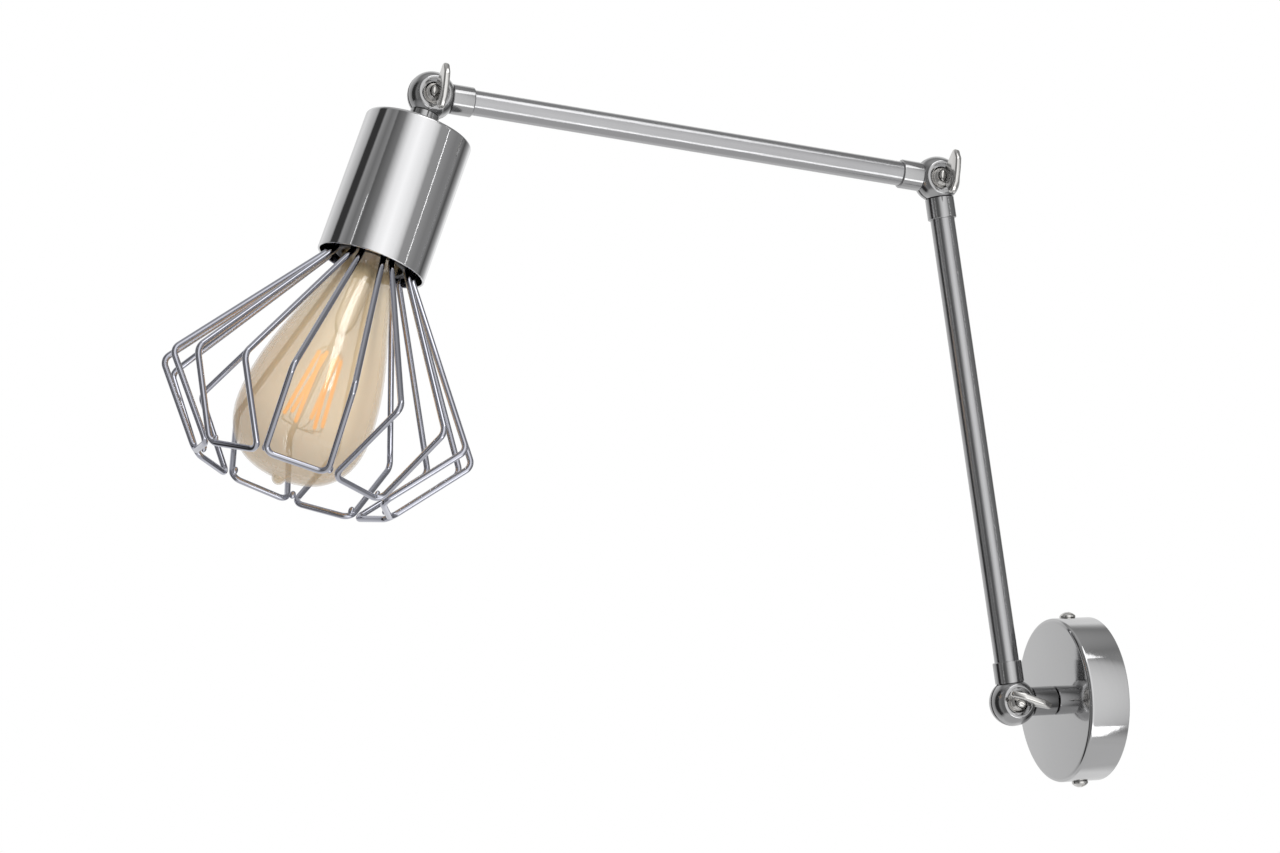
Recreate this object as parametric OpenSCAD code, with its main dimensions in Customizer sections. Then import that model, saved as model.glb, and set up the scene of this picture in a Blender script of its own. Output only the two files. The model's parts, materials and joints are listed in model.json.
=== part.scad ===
// Swing arm wall sconce with two tube arms, three split-ball knuckle joints and a wire cage.
// The wall is the plane X = 0, the light reaches out along -X, and +Z is up.
// The origin is the centre of the canopy's back edge.

/* [Canopy] */
// Diameter of the wall canopy
canopy_d = 80; // [70:1:110]
// Depth of the canopy, from the wall to its face
canopy_depth = 21; // [20:1:35]
// Sheet thickness of the canopy
canopy_wall = 1.2; // [0.8:0.1:2]
// Radius of the canopy's rolled edge
canopy_edge_r = 2; // [1.5:0.5:4]
// Distance of the two side screws from the wall
side_screw_height = 10; // [8:0.5:13]
// Diameter of a side screw's dome head
side_screw_head_d = 8; // [6:0.5:10]

/* [Wall bracket] */
// Width of the bracket's strap
strap_w = 16; // [12:1:24]
// Thickness of the bracket's strap
strap_t = 2; // [1.5:0.1:3]
// Distance between the centres of the two wall-screw slots
wall_screw_spacing = 50; // [44:1:56]
// Width of a wall-screw slot
wall_slot_w = 4.6; // [4:0.1:6]
// End-to-end length of a wall-screw slot
wall_slot_l = 9; // [6:0.5:12]

/* [Knuckle joints] */
// Diameter of each split ball
ball_d = 23; // [22:0.5:32]
// Wall of the collars round the arm tubes
collar_wall = 1.05; // [0.85:0.05:1.4]
// How far an arm's collar stands out from its ball
collar_stand = 8.5; // [7.5:0.5:14]
// Depth of the socket that an arm tube seats in
tube_socket = 7.5; // [5:0.5:8]
// Gap between the base ball and the canopy's face
stub_stand = 10.5; // [8.5:0.5:18]
// Gap between the head ball and the top of the lamp cup
stem_stand = 6.5; // [4.5:0.5:14]
// Diameter of the thumb screws' shanks
thumb_shank_d = 4.9; // [4.4:0.1:5.4]
// Width of a thumb screw's paddle
paddle_w = 22; // [16:0.5:28]
// Distance from a ball's centre to the outer edge of the paddle
paddle_reach = 26.2; // [24:0.2:32]
// Thickness of a paddle
paddle_t = 3; // [2:0.2:4]

/* [Arms] */
// Distance between ball centres along the lower arm
lower_arm = 260; // [160:5:400]
// Distance between ball centres along the upper arm
upper_arm = 260; // [160:5:400]
// Outer diameter of the arm tubes
tube_d = 12; // [11:0.2:12.4]
// Wall of the arm tubes
tube_wall = 1; // [0.8:0.1:1.5]
// Diameter of one insulated lead
lead_d = 2.2; // [1.6:0.1:3]

/* [Rest pose] */
// Direction of the lower arm, counterclockwise from +X
lower_angle = 94.5; // [86:0.5:180]
// Direction of the upper arm
upper_angle = 171.5; // [150:0.5:200]
// Direction in which the lamp head points
head_angle = 247.5; // [230:0.5:270]
// Direction of the base thumb screw's paddle
base_paddle_angle = -20; // [-180:5:180]
// Direction of the elbow and head thumb screws' paddles
upper_paddle_angle = 80; // [-180:5:180]

/* [Lamp head] */
// Outer diameter of the lamp cup
cup_d = 52; // [49:0.5:60]
// Length of the lamp cup
cup_length = 70; // [66:1:80]
// Sheet thickness of the lamp cup
cup_wall = 1; // [0.8:0.1:1.6]
// Edge radius of the cup's closed end
cup_edge_r = 1.6; // [1.4:0.2:4]
// Outer diameter of the lampholder
holder_d = 37.4; // [36.4:0.2:37.8]
// Length of the whole bulb, from contact to tip
bulb_length = 143; // [138:1:150]
// Largest diameter of the bulb's glass
bulb_d = 64; // [56:1:70]
// Lean of the bulb in its lampholder, outwards
bulb_lean = 3.2; // [0:0.1:3.4]

/* [Cage] */
// Number of wire petals
petal_count = 9; // [9:1:9]
// Diameter of the cage wire
wire_d = 3; // [2.4:0.1:3.2]
// Radius of the cage's widest ring
waist_r = 75; // [60:1:90]
// Distance of the widest ring beyond the cup's rim
waist_drop = 74; // [60:1:90]
// Radius of the cage's open end
mouth_r = 48; // [44:1:60]
// Distance of the open end beyond the cup's rim
mouth_drop = 108.5; // [100:1:125]
// Half the width of a petal inside the cup
petal_half_top = 5.1; // [4.5:0.1:5.4]
// Half the width of a petal at the widest ring
petal_half_waist = 14.2; // [10:0.2:18]
// Bend radius of the wire, to its centre
wire_bend_r = 4.5; // [3.5:0.5:7]
// Turn of the cage about the head's axis
cage_turn = 32.5; // [0:0.5:40]

/* [Hidden] */
$fn = 64;
// Clearances
slip = 0.3;              // between pieces that move past each other
running = 0.05;          // radial, shaft in bore
seat = 0.05;             // radial, piece seated in a socket
beyond = 1;              // how far a cut runs past the face that it opens
// Threaded hardware
nipple_r = 5;
nipple_bore_r = 3.4;
nut_flats = 14;
nut_h = 3;
small_thread_r = 2;      // M4 shanks
// Canopy and bracket
canopy_r = canopy_d / 2;
ear_clear = 0.4;
screw_past_ear = 1.5;
ear_h = side_screw_height + small_thread_r + 2.5;
strap_half = sqrt(pow(canopy_r - canopy_wall - ear_clear, 2) - pow(strap_w / 2, 2));
cable_hole_r = 7;
earth_x = 13.5;
terminal_size = [9, 22, 9.5];
terminal_x = -14;
terminal_pitch = 7;
terminal_hole_r = 1.6;
slip_washer_r = 9;
slip_washer_t = 1;
nipple_inside = 9;       // how far the base nipple reaches behind the canopy's face
nipple_in_collar = 8;
// Balls
ball_r = ball_d / 2;
collar_r = tube_d / 2 + seat + collar_wall;
collar_reach = ball_r + collar_stand;
stub_reach = ball_r + stub_stand;
stem_reach = ball_r + stem_stand;
joint_gap = 1;
ring_t = 0.8;
ring_wall = 2.2;
cavity_r = ball_r - 3.2;
root_start = cavity_r - 1.2;
root_r = collar_r - 0.5;
front_cavity_h = 2.4;
rear_cavity_h = 4.5;
boss_r = 4.2;
land_z = 8.2;            // plane of the front half's flat land
recess_r = 6.7;
recess_floor = 4.5;
spring_washer_t = 0.8;
thread_depth = 8;
lead_way_r = 3.4;
collar_chamfer = 0.6;
flange_z = recess_floor + spring_washer_t + slip;
flange_r = 5.4;
boss_top_r = 3.2;
boss_top_z = 9.4;
shank_r = thumb_shank_d / 2;
// Arms
tube_r = tube_d / 2;
tube_seat = collar_reach - tube_socket;
lead_margin = 6;
// Places of the three ball centres
base_ball = [-(canopy_depth + stub_reach), 0, 0];
elbow_ball = base_ball + lower_arm * heading(lower_angle);
head_ball = elbow_ball + upper_arm * heading(upper_angle);
// Lamp head, along its own axis from the head ball's centre
cup_r = cup_d / 2;
cup_top = stem_reach;
cup_rim = cup_top + cup_length;
plate_t = 1.5;
plate_x = cup_top + cup_wall;
plate_r = cup_r - cup_wall - 1.2;
head_nut_x = plate_x + plate_t;
nipple_in_stem = 5.5;
holder_stand_off = 6.9;  // between the lock nut and the lampholder's cap
holder_x = head_nut_x + nut_h + holder_stand_off;
head_nipple_end = holder_x + 5;
holder_r = holder_d / 2;
holder_wall = 2.2;
holder_cap_h = 20;
holder_edge_r = 3;
holder_end = holder_x + 56;
holder_lip = 4;
holder_lip_r = 14.9;
block_h = 6;
block_x = holder_x + holder_cap_h;
shell_r = 14.4;
shell_wall = 0.6;
contact_h = 1.2;
bulb_x = block_x + block_h + contact_h;
// Bulb, from its centre contact
contact_r = 4.5;
contact_tip_h = 1.5;
contact_crown_r = (pow(contact_r, 2) + pow(contact_tip_h, 2)) / (2 * contact_tip_h);
lean_x = 15.2;           // from the contact to the point about which the bulb leans
lean_sink = (lean_x - contact_crown_r) * (1 / cos(bulb_lean) - 1);
insulator_h = 4;
bulb_cap_r = 13.1;
bulb_cap_wall = 0.4;
glass_t = 0.8;
glass_start = 25;
tip_r = 3.2;
belly_drop = 33;         // from the tip to the glass's widest ring
stem_tube_r = 5;
stem_top = 68;
filament_r = 0.9;
filament_l = 34;
filament_count = 6;
filament_ring_top = 5.5;
filament_ring_low = 9.5;
filament_x = 77;
support_r = 0.35;
// Cage
wire_r = wire_d / 2;
wire_ring_r = holder_r + wire_r;  // the petals' legs grip the lampholder
petal_pitch = 360 / petal_count;
weld_gap = 0.1;
wire_sides = 10;
bend_steps = 3;
mouth_half = mouth_r * sin(petal_pitch / 2) - (wire_r + weld_gap) / cos(petal_pitch / 2);
rim_bend_x = cup_rim + 0.5;

// ---- Frames ----

// Unit vector in the XZ plane, counterclockwise from +X
function heading(a) = [cos(a), 0, sin(a)];

// Local +X runs along heading(a) and local +Z is the hinge axis, towards -Y
module joint_frame(centre, a) {
  translate(centre) rotate([0, -a, 0]) rotate([90, 0, 0]) children();
}

// Local +Z points away from the wall and local +X points up
module on_wall() {
  rotate([0, -90, 0]) children();
}

// Local +Z runs along the parent's +X
module along_x(x = 0) {
  translate([x, 0, 0]) rotate([0, 90, 0]) children();
}

module at_base(a) {
  joint_frame(base_ball, a) children();
}

module at_elbow(a) {
  joint_frame(elbow_ball, a) children();
}

module at_head(a) {
  joint_frame(head_ball, a) children();
}

// ---- Shared shapes ----

// Half-section of a solid with its closed end at y = 0 and a rounded edge there
module blank_section(r, h, edge) {
  square([r - edge, h]);
  translate([0, edge]) square([r, h - edge]);
  translate([r - edge, edge]) circle(r = edge);
}

// Round cup, closed at z = 0 and open at z = h
module drawn_cup(r, h, wall, edge) {
  rotate_extrude() intersection() {
    square([r, h]);
    difference() {
      blank_section(r, h, edge);
      translate([0, wall]) blank_section(r - wall, h, edge - wall / 2);
    }
  }
}

module tube(r_out, r_in, h) {
  difference() {
    cylinder(r = r_out, h = h);
    translate([0, 0, -beyond]) cylinder(r = r_in, h = h + 2 * beyond);
  }
}

module hex_nut(flats, h, r_hole) {
  difference() {
    cylinder(r = flats / 2 / cos(30), h = h, $fn = 6);
    translate([0, 0, -beyond]) cylinder(r = r_hole, h = h + 2 * beyond);
  }
}

// Dome-head screw with its head's underside at z = 0 and its shank below
module dome_screw(head_r, head_h, shank, length) {
  rim_h = head_h / 3;
  slot_w = head_r / 4;
  difference() {
    union() {
      translate([0, 0, -length]) cylinder(r = shank, h = length + rim_h / 2);
      cylinder(r = head_r, h = rim_h);
      translate([0, 0, rim_h]) intersection() {
        dome_cap(head_r, head_h - rim_h);
        cylinder(r = head_r, h = head_h);
      }
    }
    translate([-head_r, -slot_w / 2, head_h * 0.6]) cube([2 * head_r, slot_w, head_h]);
  }
}

// Cap of a sphere with base radius r and height h
module dome_cap(r, h) {
  dome_r = (r * r + h * h) / (2 * h);
  translate([0, 0, h - dome_r]) sphere(r = dome_r);
}

// Points on an arc about c
function arc(c, r, a0, a1, steps) =
  [for (i = [0:steps]) let (a = a0 + (a1 - a0) * i / steps) [c[0] + r * cos(a), c[1] + r * sin(a)]];

// Point at t on a cubic curve through p0 and p3
function cubic(p0, p1, p2, p3, t) =
  pow(1 - t, 3) * p0 + 3 * pow(1 - t, 2) * t * p1 + 3 * (1 - t) * t * t * p2 + t * t * t * p3;

// ---- Canopy and bracket ----

module canopy() {
  color([0.78, 0.78, 0.79]) on_wall() difference() {
    translate([0, 0, canopy_depth]) mirror([0, 0, 1])
      drawn_cup(canopy_r, canopy_depth, canopy_wall, canopy_edge_r);
    cylinder(r = nipple_r + running, h = canopy_depth + beyond);
    translate([0, 0, side_screw_height]) rotate([0, 90, 0])
      cylinder(r = small_thread_r + running, h = canopy_d + 2 * beyond, center = true);
  }
}

module wall_bracket() {
  color([0.7, 0.7, 0.72]) on_wall() difference() {
    union() {
      translate([-strap_half, -strap_w / 2, 0]) cube([2 * strap_half, strap_w, strap_t]);
      for (side = [-1, 1]) {
        translate([side * (strap_half - strap_t / 2) - strap_t / 2, -strap_w / 2, 0])
          cube([strap_t, strap_w, ear_h]);
      }
    }
    translate([0, 0, -beyond]) cylinder(r = cable_hole_r, h = strap_t + 2 * beyond);
    for (side = [-1, 1]) {
      translate([side * wall_screw_spacing / 2, 0, -beyond]) wall_slot();
    }
    translate([earth_x, 0, -beyond]) cylinder(r = small_thread_r + running, h = strap_t + 2 * beyond);
    translate([0, 0, side_screw_height]) rotate([0, 90, 0])
      cylinder(r = small_thread_r + running, h = canopy_d, center = true);
  }
}

module wall_slot() {
  slot_r = wall_slot_w / 2;
  run = wall_slot_l - wall_slot_w;
  for (side = [-1, 1]) {
    translate([side * run / 2, 0, 0]) cylinder(r = slot_r, h = strap_t + 2 * beyond);
  }
  translate([-run / 2, -slot_r, 0]) cube([run, wall_slot_w, strap_t + 2 * beyond]);
}

module canopy_screws() {
  shank_l = canopy_r - strap_half + strap_t + screw_past_ear;
  color([0.85, 0.85, 0.86]) on_wall() for (side = [-1, 1]) {
    translate([side * canopy_r, 0, side_screw_height]) rotate([0, side * 90, 0])
      dome_screw(side_screw_head_d / 2, 3, small_thread_r, shank_l);
  }
}

module earth_screw() {
  color([0.8, 0.68, 0.35]) on_wall() translate([earth_x, 0, strap_t])
    dome_screw(3.6, 2.6, small_thread_r, strap_t - 0.2);
}

module terminal_block() {
  color([0.93, 0.92, 0.88]) on_wall() translate([terminal_x, 0, strap_t]) difference() {
    translate([-terminal_size[0] / 2, -terminal_size[1] / 2, 0]) cube(terminal_size);
    for (pole = [-1:1]) {
      translate([0, pole * terminal_pitch, terminal_size[2] / 2]) rotate([0, 90, 0])
        cylinder(r = terminal_hole_r, h = terminal_size[0] + 2 * beyond, center = true);
      translate([0, pole * terminal_pitch, terminal_size[2] - 3])
        cylinder(r = terminal_hole_r, h = 3 + beyond);
    }
  }
}

module terminal_screws() {
  color([0.82, 0.82, 0.82]) on_wall() for (pole = [-1:1]) {
    translate([terminal_x, pole * terminal_pitch, strap_t + terminal_size[2] - 3])
      cylinder(r = terminal_hole_r - running, h = 2);
  }
}

module base_slip_washer() {
  color([0.6, 0.6, 0.62]) on_wall()
    translate([0, 0, canopy_depth - canopy_wall - slip_washer_t])
    tube(slip_washer_r, nipple_r + running, slip_washer_t);
}

// ---- Split-ball castings ----

// Half-section of a half ball about the hinge axis, with y measured from the split plane outwards
module half_ball_section(side) {
  hollow_h = side > 0 ? front_cavity_h : rear_cavity_h;
  split = joint_gap / 2;
  difference() {
    intersection() {
      circle(r = ball_r);
      translate([0, split]) square([ball_r, (side > 0 ? land_z : ball_r) - split]);
    }
    translate([boss_r, split - beyond]) square([cavity_r - boss_r, hollow_h + beyond]);
    if (side > 0) {
      translate([-beyond, -beyond]) square([shank_r + running + beyond, ball_d]);
      translate([-beyond, recess_floor]) square([recess_r + beyond, ball_d]);
    }
    else {
      translate([-beyond, -beyond]) square([shank_r + running + beyond, thread_depth + beyond]);
    }
  }
}

module half_ball(side) {
  mirror([0, 0, side > 0 ? 0 : 1]) rotate_extrude() half_ball_section(side);
}

// Half of the collar's root, from inside the ball's wall to past the swept ball
module collar_root(side) {
  root_end = ball_r + 2 * slip;
  rotate([side > 0 ? 0 : 180, 0, 0]) difference() {
    along_x(root_start) cylinder(r = root_r, h = root_end - root_start);
    translate([0, -2 * collar_r, joint_gap / 2 - 2 * collar_r])
      cube([2 * root_end, 4 * collar_r, 2 * collar_r]);
  }
}

// Whole round collar beyond the ball of the other half, with the socket and the lead way in it
module collar(reach, socket_r, socket_depth) {
  along_x() rotate_extrude() difference() {
    polygon([[lead_way_r, 0], [collar_r, 0], [collar_r, reach - collar_chamfer],
             [collar_r - collar_chamfer, reach], [lead_way_r, reach]]);
    circle(r = ball_r + slip);
    translate([0, reach - socket_depth]) square([socket_r + seat, socket_depth + beyond]);
  }
}

// Half ball with its collar along +X, and a socket of radius socket_r in the collar's end
module casting(side, reach, socket_r, socket_depth) {
  difference() {
    union() {
      half_ball(side);
      collar_root(side);
    }
    along_x(root_start - beyond) cylinder(r = lead_way_r, h = reach);
  }
  collar(reach, socket_r, socket_depth);
}

module front_half(reach) {
  color([0.66, 0.66, 0.67]) casting(1, reach, tube_r, tube_socket);
}

module rear_half(reach, socket_r, socket_depth) {
  color([0.7, 0.7, 0.71]) casting(-1, reach, socket_r, socket_depth);
}

module friction_ring() {
  color([0.2, 0.2, 0.2]) translate([0, 0, -ring_t / 2])
    tube(ball_r - slip, ball_r - slip - ring_wall, ring_t);
}

module spring_washer() {
  color([0.6, 0.6, 0.62]) translate([0, 0, recess_floor])
    tube(flange_r - 0.2, shank_r + running, spring_washer_t);
}

// Outline of a thumb screw's paddle, x across and y along the screw
function paddle_outline() =
  let (corner_r = 2.7, x = paddle_w / 2 - corner_r, y = paddle_reach - 5.4, crown_r = paddle_w * 1.6,
       crown_a = asin(x / (crown_r - 1)), foot = [0, boss_top_z + 2.8], foot_r = boss_top_r)
  concat(arc([x, y], corner_r, -50, 72, 8),
         arc([0, paddle_reach - crown_r], crown_r, 90 - crown_a * 0.7, 90 + crown_a * 0.7, 8),
         arc([-x, y], corner_r, 108, 230, 8),
         arc(foot, foot_r, 205, 335, 6));

module thumb_screw(paddle_a) {
  color([0.8, 0.8, 0.81]) {
    translate([0, 0, -thread_depth + slip]) cylinder(r = shank_r, h = thread_depth + flange_z);
    translate([0, 0, flange_z]) rotate_extrude()
      polygon([[0, 0], [flange_r, 0], [flange_r, 0.8], [boss_top_r, boss_top_z - flange_z],
               [boss_top_r, boss_top_z - flange_z + 2.2], [0, boss_top_z - flange_z + 2.2]]);
    rotate([0, 0, paddle_a]) rotate([90, 0, 0]) translate([0, 0, -paddle_t / 2])
      linear_extrude(height = paddle_t) polygon(paddle_outline());
  }
}

// ---- Base ----

module base_rear_half() {
  at_base(0) rear_half(stub_reach - slip, nipple_r, nipple_in_collar);
}

module base_nipple() {
  color([0.75, 0.7, 0.5]) on_wall() translate([0, 0, canopy_depth - nipple_inside])
    tube(nipple_r, nipple_bore_r, nipple_inside + nipple_in_collar);
}

module base_lock_nut() {
  color([0.75, 0.7, 0.5]) on_wall()
    translate([0, 0, canopy_depth - canopy_wall - slip_washer_t - slip - nut_h])
    hex_nut(nut_flats, nut_h, nipple_r + seat);
}

module base_front_half() {
  at_base(lower_angle) front_half(collar_reach);
}

module base_friction_ring() {
  at_base(0) friction_ring();
}

module base_spring_washer() {
  at_base(0) spring_washer();
}

module base_thumb_screw() {
  at_base(0) thumb_screw(base_paddle_angle);
}

// ---- Arms ----

module arm_tube(span) {
  color([0.72, 0.72, 0.73]) along_x(tube_seat)
    tube(tube_r, tube_r - tube_wall, span - 2 * tube_seat);
}

module arm_leads(span) {
  inset = tube_seat + lead_margin;
  color([0.85, 0.83, 0.78]) for (side = [-1, 1]) {
    translate([0, side * (lead_d / 2 + slip), 0]) along_x(inset)
      cylinder(r = lead_d / 2, h = span - 2 * inset);
  }
}

module lower_arm_tube() {
  at_base(lower_angle) arm_tube(lower_arm);
}

module lower_arm_leads() {
  at_base(lower_angle) arm_leads(lower_arm);
}

module elbow_rear_half() {
  at_elbow(lower_angle + 180) rear_half(collar_reach, tube_r, tube_socket);
}

module elbow_front_half() {
  at_elbow(upper_angle) front_half(collar_reach);
}

module elbow_friction_ring() {
  at_elbow(0) friction_ring();
}

module elbow_spring_washer() {
  at_elbow(0) spring_washer();
}

module elbow_thumb_screw() {
  at_elbow(0) thumb_screw(upper_paddle_angle);
}

module upper_arm_tube() {
  at_elbow(upper_angle) arm_tube(upper_arm);
}

module upper_arm_leads() {
  at_elbow(upper_angle) arm_leads(upper_arm);
}

module head_front_half() {
  at_head(upper_angle + 180) front_half(collar_reach);
}

module head_friction_ring() {
  at_head(0) friction_ring();
}

module head_spring_washer() {
  at_head(0) spring_washer();
}

module head_thumb_screw() {
  at_head(0) thumb_screw(upper_paddle_angle);
}

// ---- Lamp head ----

module in_head() {
  at_head(head_angle) children();
}

module head_rear_half() {
  in_head() rear_half(stem_reach, nipple_r, nipple_in_stem);
}

module head_nipple() {
  color([0.75, 0.7, 0.5]) in_head() along_x(stem_reach - nipple_in_stem)
    tube(nipple_r, nipple_bore_r, head_nipple_end - stem_reach + nipple_in_stem);
}

module head_lock_nut() {
  color([0.75, 0.7, 0.5]) in_head() along_x(head_nut_x) hex_nut(nut_flats, nut_h, nipple_r + seat);
}

module lamp_cup() {
  color([0.82, 0.82, 0.83]) in_head() difference() {
    along_x(cup_top) drawn_cup(cup_r, cup_length, cup_wall, cup_edge_r);
    along_x(cup_top - beyond) cylinder(r = nipple_r + seat, h = cup_wall + 2 * beyond);
  }
}

module cage_plate() {
  color([0.6, 0.6, 0.65]) in_head() along_x(plate_x) tube(plate_r, nipple_r + seat, plate_t);
}

module holder_cap() {
  color([0.08, 0.08, 0.08]) in_head() difference() {
    along_x(holder_x) drawn_cup(holder_r, holder_cap_h, holder_wall, holder_edge_r);
    along_x(holder_x - beyond) cylinder(r = nipple_r + seat, h = holder_wall + 2 * beyond);
  }
}

module holder_body() {
  body_h = holder_end - block_x;
  color([0.1, 0.1, 0.1]) in_head() along_x(block_x) difference() {
    cylinder(r = holder_r, h = body_h);
    translate([0, 0, -beyond]) cylinder(r = holder_r - holder_wall, h = body_h - holder_lip + beyond);
    cylinder(r = holder_lip_r, h = body_h + beyond);
  }
}

module holder_contact_block() {
  color([0.9, 0.88, 0.83]) in_head() along_x(block_x)
    tube(holder_r - holder_wall - seat, terminal_hole_r, block_h);
}

module holder_screw_shell() {
  color([0.8, 0.7, 0.45]) in_head() along_x(block_x + block_h)
    tube(shell_r, shell_r - shell_wall, holder_end - holder_lip - block_x - block_h);
}

module holder_centre_contact() {
  color([0.8, 0.7, 0.45]) in_head() along_x(block_x + block_h) cylinder(r = contact_r, h = contact_h);
}

// ---- Bulb ----

module in_bulb() {
  in_head() translate([bulb_x + lean_x, 0, 0]) rotate([0, bulb_lean, 0]) along_x(-lean_x - lean_sink)
    children();
}

// Outer radius profile of the glass, [radius, distance from the contact]
function glass_profile(inset) =
  let (r = bulb_d / 2 - inset, end = bulb_length - inset, neck = bulb_cap_r - inset,
       belly = bulb_length - belly_drop, foot = end - tip_r - 1)
  concat([for (i = [0:14]) cubic([neck, glass_start], [neck + 1, glass_start + 24],
                                 [r, belly - 34], [r, belly], i / 14)],
         [for (i = [1:14]) cubic([r, belly], [r, belly + 16],
                                 [r * 0.7, foot], [tip_r + 1.5, foot], i / 14)],
         arc([0, end - tip_r], tip_r, 0, 90, 6));

module bulb_glass() {
  color([0.95, 0.8, 0.55, 0.35]) in_bulb() rotate_extrude() difference() {
    polygon(concat([[0, glass_start]], glass_profile(0)));
    polygon(concat([[0, glass_start - beyond], [bulb_cap_r - glass_t, glass_start - beyond]],
                   glass_profile(glass_t)));
  }
}

module bulb_cap() {
  color([0.8, 0.78, 0.72]) in_bulb() translate([0, 0, contact_tip_h + insulator_h])
    tube(bulb_cap_r - seat, bulb_cap_r - bulb_cap_wall - seat, glass_start - contact_tip_h - insulator_h);
}

module bulb_insulator() {
  color([0.1, 0.1, 0.12]) in_bulb() translate([0, 0, contact_tip_h]) rotate_extrude()
    polygon([[0, 0], [contact_r + 1, 0], [bulb_cap_r - seat, insulator_h], [0, insulator_h]]);
}

module bulb_contact() {
  color([0.75, 0.75, 0.75]) in_bulb() intersection() {
    contact_dome();
    cylinder(r = contact_r, h = contact_tip_h);
  }
}

// Dome of the centre contact, rounded towards the lampholder
module contact_dome() {
  translate([0, 0, contact_tip_h]) mirror([0, 0, 1]) dome_cap(contact_r, contact_tip_h);
}

module bulb_stem() {
  stem_base = glass_start + 1;
  color([0.9, 0.85, 0.75, 0.4]) in_bulb() translate([0, 0, stem_base]) rotate_extrude()
    polygon([[0, 0], [bulb_cap_r - glass_t - 0.4, 0], [stem_tube_r + 1.5, 9], [stem_tube_r, 14],
             [stem_tube_r, stem_top - stem_base - 6], [3, stem_top - stem_base - 2],
             [2.2, stem_top - stem_base], [0, stem_top - stem_base]]);
}

// A filament's two ends, spread on a ring
function filament_end(i, r, z) =
  [r * cos(360 * i / filament_count), r * sin(360 * i / filament_count), z];

module rod(p, q, r) {
  d = q - p;
  l = norm(d);
  translate(p) rotate([0, acos(d[2] / l), atan2(d[1], d[0])]) cylinder(r = r, h = l);
}

module bulb_filaments() {
  color([1, 0.55, 0.1]) in_bulb() for (i = [0:filament_count - 1]) {
    rod(filament_end(i, filament_ring_top, filament_x),
        filament_end(i + 0.35, filament_ring_low, filament_x + filament_l), filament_r);
  }
}

module bulb_support_wires() {
  color([0.5, 0.5, 0.5]) in_bulb() for (i = [0:filament_count - 1]) {
    rod([0, 0, stem_top + support_r], filament_end(i, filament_ring_top, filament_x - support_r), support_r);
  }
}

// ---- Cage ----

function unit(v) = v / norm(v);

// Point of a petal at height x along the head's axis, radius r and offset t across
function petal_point(x, r, t) = [r, t, x];

// One petal's wire, from the plate and back to it
function petal_path() =
  let (waist = cup_rim + waist_drop, mouth = cup_rim + mouth_drop, mouth_x = mouth_r * cos(petal_pitch / 2))
  [petal_point(plate_x + plate_t, wire_ring_r, -petal_half_top),
   petal_point(rim_bend_x, wire_ring_r, -petal_half_top),
   petal_point(waist, waist_r * cos(asin(petal_half_waist / waist_r)), -petal_half_waist),
   petal_point(mouth, mouth_x, -mouth_half),
   petal_point(mouth, mouth_x, mouth_half),
   petal_point(waist, waist_r * cos(asin(petal_half_waist / waist_r)), petal_half_waist),
   petal_point(rim_bend_x, wire_ring_r, petal_half_top),
   petal_point(plate_x + plate_t, wire_ring_r, petal_half_top)];

// Half of the angle by which the wire turns at point i of a path
function half_turn(path, i) =
  acos(unit(path[i] - path[i - 1]) * unit(path[i + 1] - path[i])) / 2;

// Length that the bend at point i takes from each straight beside it
function bend_take(path, i) =
  i == 0 || i == len(path) - 1 ? 0 : wire_bend_r * tan(half_turn(path, i));

// Stations [place, direction] along the arc at point i, in the plane of the two straights
function bend_stations(path, i) =
  let (u = unit(path[i] - path[i - 1]), w = unit(path[i + 1] - path[i]), side = cross(unit(cross(u, w)), u),
       start = path[i] - bend_take(path, i) * u, centre = start + wire_bend_r * side)
  [for (k = [0:bend_steps]) let (a = 2 * half_turn(path, i) * k / bend_steps)
    [centre + wire_bend_r * (sin(a) * u - cos(a) * side), cos(a) * u + sin(a) * side]];

// Stations along the whole wire, from one end to the other
function wire_stations(path) =
  let (last = len(path) - 1)
  concat([[path[0], unit(path[1] - path[0])]],
         [for (i = [1:last - 1]) each bend_stations(path, i)],
         [[path[last], unit(path[last] - path[last - 1])]]);

// Round section at a station; no stretch of a petal runs straight out from the axis
function wire_ring(station) =
  let (across = unit(cross(station[1], [1, 0, 0])), up = cross(across, station[1]))
  [for (j = [0:wire_sides - 1]) let (a = 360 * j / wire_sides)
    station[0] + wire_r * (cos(a) * across + sin(a) * up)];

// Wire swept along a path as one closed solid
module bent_wire(path) {
  stations = wire_stations(path);
  rings = len(stations);
  polyhedron(
    points = [for (station = stations) each wire_ring(station)],
    faces = concat(
      [[for (j = [wire_sides - 1:-1:0]) j]],
      [for (i = [0:rings - 2]) for (j = [0:wire_sides - 1])
        let (a = i * wire_sides + j, b = i * wire_sides + (j + 1) % wire_sides)
        [a, b, b + wire_sides, a + wire_sides]],
      [[for (j = [0:wire_sides - 1]) (rings - 1) * wire_sides + j]]
    )
  );
}

module cage_petal(k) {
  color([0.62, 0.63, 0.68]) in_head() along_x() rotate([0, 0, cage_turn + (k - 1) * petal_pitch])
    bent_wire(petal_path());
}

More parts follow.
